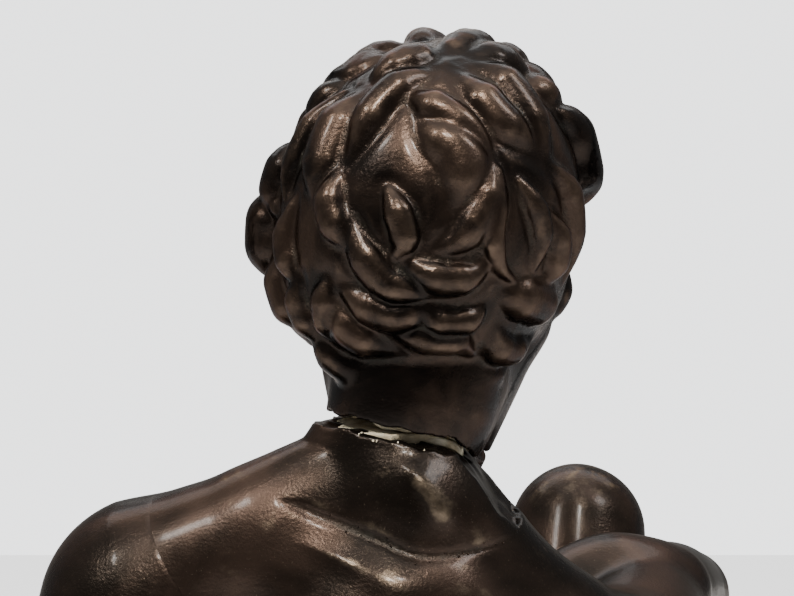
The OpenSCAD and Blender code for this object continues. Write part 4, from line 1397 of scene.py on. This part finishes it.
def ironFinish(name, c):
    mat, tree, skin = newFinish(name, 0.4)
    spot = ownSpace(tree)
    rust = span(tree, noise(tree, spot, 380, 6, 0.65, 0.5), 0.40, 0.60)
    fine = noise(tree, spot, 2400, 4, 0.6)
    rusty = blendColor(tree, span(tree, fine, 0.35, 0.65), c["rustDark"], c["rust"])
    wire(tree, skin, {"Base Color": blendColor(tree, rust, c["bare"], rusty),
                      "Roughness": calc(tree, "ADD", 0.42, times(tree, rust, 0.45), True),
                      "Metallic": calc(tree, "SUBTRACT", 0.85, times(tree, rust, 0.8), True),
                      "Normal": bump(tree, calc(tree, "ADD", fine, rust), 0.4, 0.0002)})
    return mat


def steelFinish(name, c):
    mat, tree, skin = newFinish(name, 1.0)
    spot = ownSpace(tree)
    turned = node(tree, "ShaderNodeMapping", {"Scale": (60, 60, 9000), "Vector": spot}).outputs["Vector"]
    smudge = noise(tree, spot, 300, 4, 0.6)
    wire(tree, skin, {"Base Color": blendColor(tree, span(tree, smudge, 0.4, 0.7), c["clean"], c["dull"]),
                      "Roughness": span(tree, smudge, 0.3, 0.7, 0.26, 0.46),
                      "Normal": bump(tree, noise(tree, turned, 1.0, 3, 0.5), 0.25, 0.00005)})
    return mat


def marbleFinish(name, c):
    mat, tree, skin = newFinish(name, 0.0, 0.35)
    spot = ownSpace(tree)
    bend = node(tree, "ShaderNodeTexNoise", {"Scale": 16, "Detail": 6, "Vector": spot}).outputs["Color"]
    bent = node(tree, "ShaderNodeVectorMath", {0: bend, 1: (0.05, 0.05, 0.05), 2: spot},
                operation="MULTIPLY_ADD").outputs["Vector"]

    def veins(size, wide):
        cells = node(tree, "ShaderNodeTexVoronoi", {"Scale": size, "Vector": bent}, feature="DISTANCE_TO_EDGE")
        return span(tree, cells.outputs["Distance"], wide, 0.0)

    cloud = span(tree, noise(tree, bent, 30, 6, 0.6), 0.35, 0.7)
    color = blendColor(tree, cloud, c["ground"], c["cloud"])
    color = blendColor(tree, times(tree, veins(70, 0.03), times(tree, cloud, 0.5)), color, c["vein"])
    strong = times(tree, veins(22, 0.035), span(tree, noise(tree, spot, 24), 0.42, 0.62))
    wire(tree, skin, {"Base Color": blendColor(tree, strong, color, c["vein"]),
                      "Roughness": span(tree, noise(tree, spot, 120, 5, 0.6), 0.3, 0.75, 0.13, 0.30),
                      "Normal": bump(tree, noise(tree, spot, 60, 3), 0.05, 0.0002)})
    return mat


def corkFinish(name, c):
    mat, tree, skin = newFinish(name, 0.0)
    spot = ownSpace(tree)
    cells = node(tree, "ShaderNodeTexVoronoi", {"Scale": 900, "Vector": spot}).outputs["Distance"]
    grain = span(tree, noise(tree, spot, 700, 5, 0.7), 0.42, 0.62)
    color = blendColor(tree, grain, c["light"], c["dark"])
    wire(tree, skin, {"Base Color": blendColor(tree, span(tree, cells, 0.1, 0.6), color, c["light"]),
                      "Roughness": span(tree, grain, 0, 1, 0.8, 0.95),
                      "Normal": bump(tree, calc(tree, "ADD", grain, cells), 0.6, 0.0003)})
    return mat


finishes = {slot: bronzeFinish(slot, c) for slot, c in bronzeLook.items()}
finishes["plaster"] = plasterFinish("plaster", {
    "pale": rgb(0.62, 0.56, 0.42), "stain": rgb(0.36, 0.29, 0.18), "dirt": rgb(0.09, 0.07, 0.05)})
finishes["iron"] = ironFinish("iron", {
    "bare": rgb(0.16, 0.15, 0.14), "rust": rgb(0.26, 0.09, 0.03), "rustDark": rgb(0.07, 0.03, 0.015)})
finishes["steel"] = steelFinish("steel", {"clean": rgb(0.52, 0.51, 0.49), "dull": rgb(0.30, 0.29, 0.27)})
finishes["marble"] = marbleFinish("marble", {
    "ground": rgb(0.012, 0.013, 0.013), "cloud": rgb(0.035, 0.038, 0.036), "vein": rgb(0.48, 0.46, 0.40)})
finishes["cork"] = corkFinish("cork", {"light": rgb(0.42, 0.26, 0.13), "dark": rgb(0.16, 0.08, 0.035)})

for obj in bpy.data.objects:
    if obj.type == "MESH" and obj.get("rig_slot") in finishes:
        obj.data.materials.clear()
        obj.data.materials.append(finishes[obj["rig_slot"]])
plain = {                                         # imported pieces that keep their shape
    "iron": ["neck_rod", "drape_rivets"],
    "steel": ["left_shoulder_stud", "right_shoulder_stud", "left_hip_stud", "right_hip_stud", "cross_pins",
              "figure_studs", "figure_nuts", "tie_rod", "tie_washer", "tie_nut"],
}
for slot, names in plain.items():
    for name in names:
        obj = frame["nodes"][name]
        if obj.material_slots:
            for holder in obj.material_slots:
                holder.material = finishes[slot]
        else:
            obj.data.materials.append(finishes[slot])
report("finishes")

# cork pads under the plinth
padReach = 0.008
padLow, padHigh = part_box("cork_pads")
padPoints = [(x, y, (padLow[2] + padHigh[2]) / 2) for x in (padLow[0] + padReach, padHigh[0] - padReach)
             for y in (padLow[1] + padReach, padHigh[1] - padReach)]
scatter("cork_feet", padPoints, scatterTree("setDiscs", "disc"),
        {"Size": padReach, "Smallest": 1.0, "Largest": 1.0, "Turn": 0.0, "Seed": 1},
        finishes["cork"], "statuette", "cork", "cork_pads")

# a rough line of brazing beads in the fold at the root of the neck, and crumbs on the broken edge
beads = {"size": 0.00018, "smallest": 0.35, "largest": 1.15, "spread": 0.16, "every": 0.55, "seed": 4}
crumbs = {"size": 0.00019, "smallest": 0.3, "largest": 1.1, "spread": 0.10, "every": 0.26, "seed": 9}


def onBack(target, x, z):
    # the point of the casting's back seen straight from behind at x, z in figure centimetres
    hit, spot, normal, index = target.ray_cast(place(x, 40, z), Vector((0, -1, 0)))
    return spot if hit else None


def alongBack(target, path, c):
    rng = np.random.default_rng(c["seed"])
    line = curve(path, 12)
    points = []
    walked = 0.0
    for a, b in zip(line, line[1:]):
        walked += math.dist(a, b)
        while walked > c["every"]:
            walked -= c["every"] * rng.uniform(0.5, 1.5)
            dx, dz = rng.normal(0, c["spread"], 2)
            spot = onBack(target, b[0] + dx, b[1] + dz)
            if spot:
                points.append(spot)
    return points


pellets = scatterTree("setPellets", "pellet")
crumbPath = [(x, z - 0.32) for x, z in crack["path"][6:9]]
for name, path, c, slot in (("bronze_beads", nape["fold"][2:], beads, "bronze_body"),
                            ("plaster_crumbs", crumbPath, crumbs, "plaster")):
    values = {"Size": c["size"], "Smallest": c["smallest"], "Largest": c["largest"], "Turn": 6.3,
              "Seed": c["seed"]}
    scatter(name, alongBack(bpy.data.objects["torso_upper"], path, c), pellets, values, finishes[slot],
            "statuette", slot)
report("beads, crumbs and feet")


# ---- floor and light ----
studio = {
    "floorColor": rgb(0.80, 0.80, 0.80),
    "floorMottle": rgb(0.84, 0.84, 0.84),
    "floorBack": 0.50,                            # how far the table runs on beyond the figure, in metres
    "air": rgb(0.95, 0.96, 0.97),
    "seen": 2.7,                                  # brightness of the backdrop itself
    "far": 0.52,
    "near": 0.15,
    "above": 0.35,
}
headAt = tuple(place(4.2, 0.5, 66))
lamps = [                                         # name, place, aim, width and depth, watts, colour
    ("lampNear", (0.05, 0.36, 0.60), headAt, (0.035, 0.035), 2.4, (1.0, 0.97, 0.92)),
    ("lampNearTwo", (-0.03, 0.30, 0.62), headAt, (0.03, 0.03), 1.4, (1.0, 0.97, 0.92)),
    ("lampLeft", (0.32, 0.22, 0.60), headAt, (0.08, 0.08), 2.2, (1.0, 0.98, 0.95)),
    ("lampRight", (-0.30, 0.10, 0.55), headAt, (0.12, 0.12), 1.4, (0.95, 0.97, 1.0)),
    ("ceiling", (0, -0.1, 1.1), (0, 0, 0.1), (0.9, 0.9), 5.0, (1, 1, 1)),
    ("wash", (0, -0.75, 0.95), (0, -0.5, 0), (1.6, 0.5), 15.0, (1, 1, 1)),
    ("front", (0.1, -1.0, 0.7), (0, 0, 0.12), (0.6, 0.6), 2.0, (1, 1, 1)),
]


def addFloor(c):
    back = -c["floorBack"]
    mesh = bpy.data.meshes.new("floor")
    mesh.from_pydata([(-3, back, 0), (3, back, 0), (3, 2.5, 0), (-3, 2.5, 0)], [], [(0, 1, 2, 3)])
    floor = inScene("floor", mesh)
    mat, tree, skin = newFinish("floorPaint", 0.0)
    mottle = noise(tree, ownSpace(tree), 3)
    wire(tree, skin, {"Base Color": blendColor(tree, mottle, c["floorColor"], c["floorMottle"]),
                      "Roughness": 0.6})
    mesh.materials.append(mat)


def addLight(name, at, aim, size, power, color):
    data = bpy.data.lights.new(name, "AREA")
    data.shape = "RECTANGLE"
    data.size, data.size_y = size
    data.energy = power
    data.color = color
    lamp = inScene(name, data)
    lamp.location = at
    lamp.rotation_euler = (Vector(aim) - Vector(at)).to_track_quat("-Z", "Y").to_euler()


def addRoom(c):
    # a pale room: bright overhead and beyond the figure, dimmer on the near side
    world = bpy.data.worlds.new("room")
    world.use_nodes = True
    tree = world.node_tree
    way = tree.nodes.new("ShaderNodeTexCoord").outputs["Generated"]
    split = node(tree, "ShaderNodeSeparateXYZ", {0: way}).outputs
    near = span(tree, split["Y"], -0.2, 0.9, c["far"], c["near"])
    above = span(tree, split["Z"], 0.1, 0.9, 0.0, c["above"])
    seen = tree.nodes.new("ShaderNodeLightPath").outputs["Is Camera Ray"]
    strength = node(tree, "ShaderNodeMix", {0: seen, 2: calc(tree, "ADD", near, above), 3: c["seen"]})
    wire(tree, tree.nodes["Background"].inputs, {"Color": c["air"], "Strength": strength.outputs[0]})
    bpy.context.scene.world = world


addFloor(studio)
addRoom(studio)
for lamp in lamps:
    addLight(*lamp)
report("floor and light")

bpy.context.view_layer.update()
report("done")
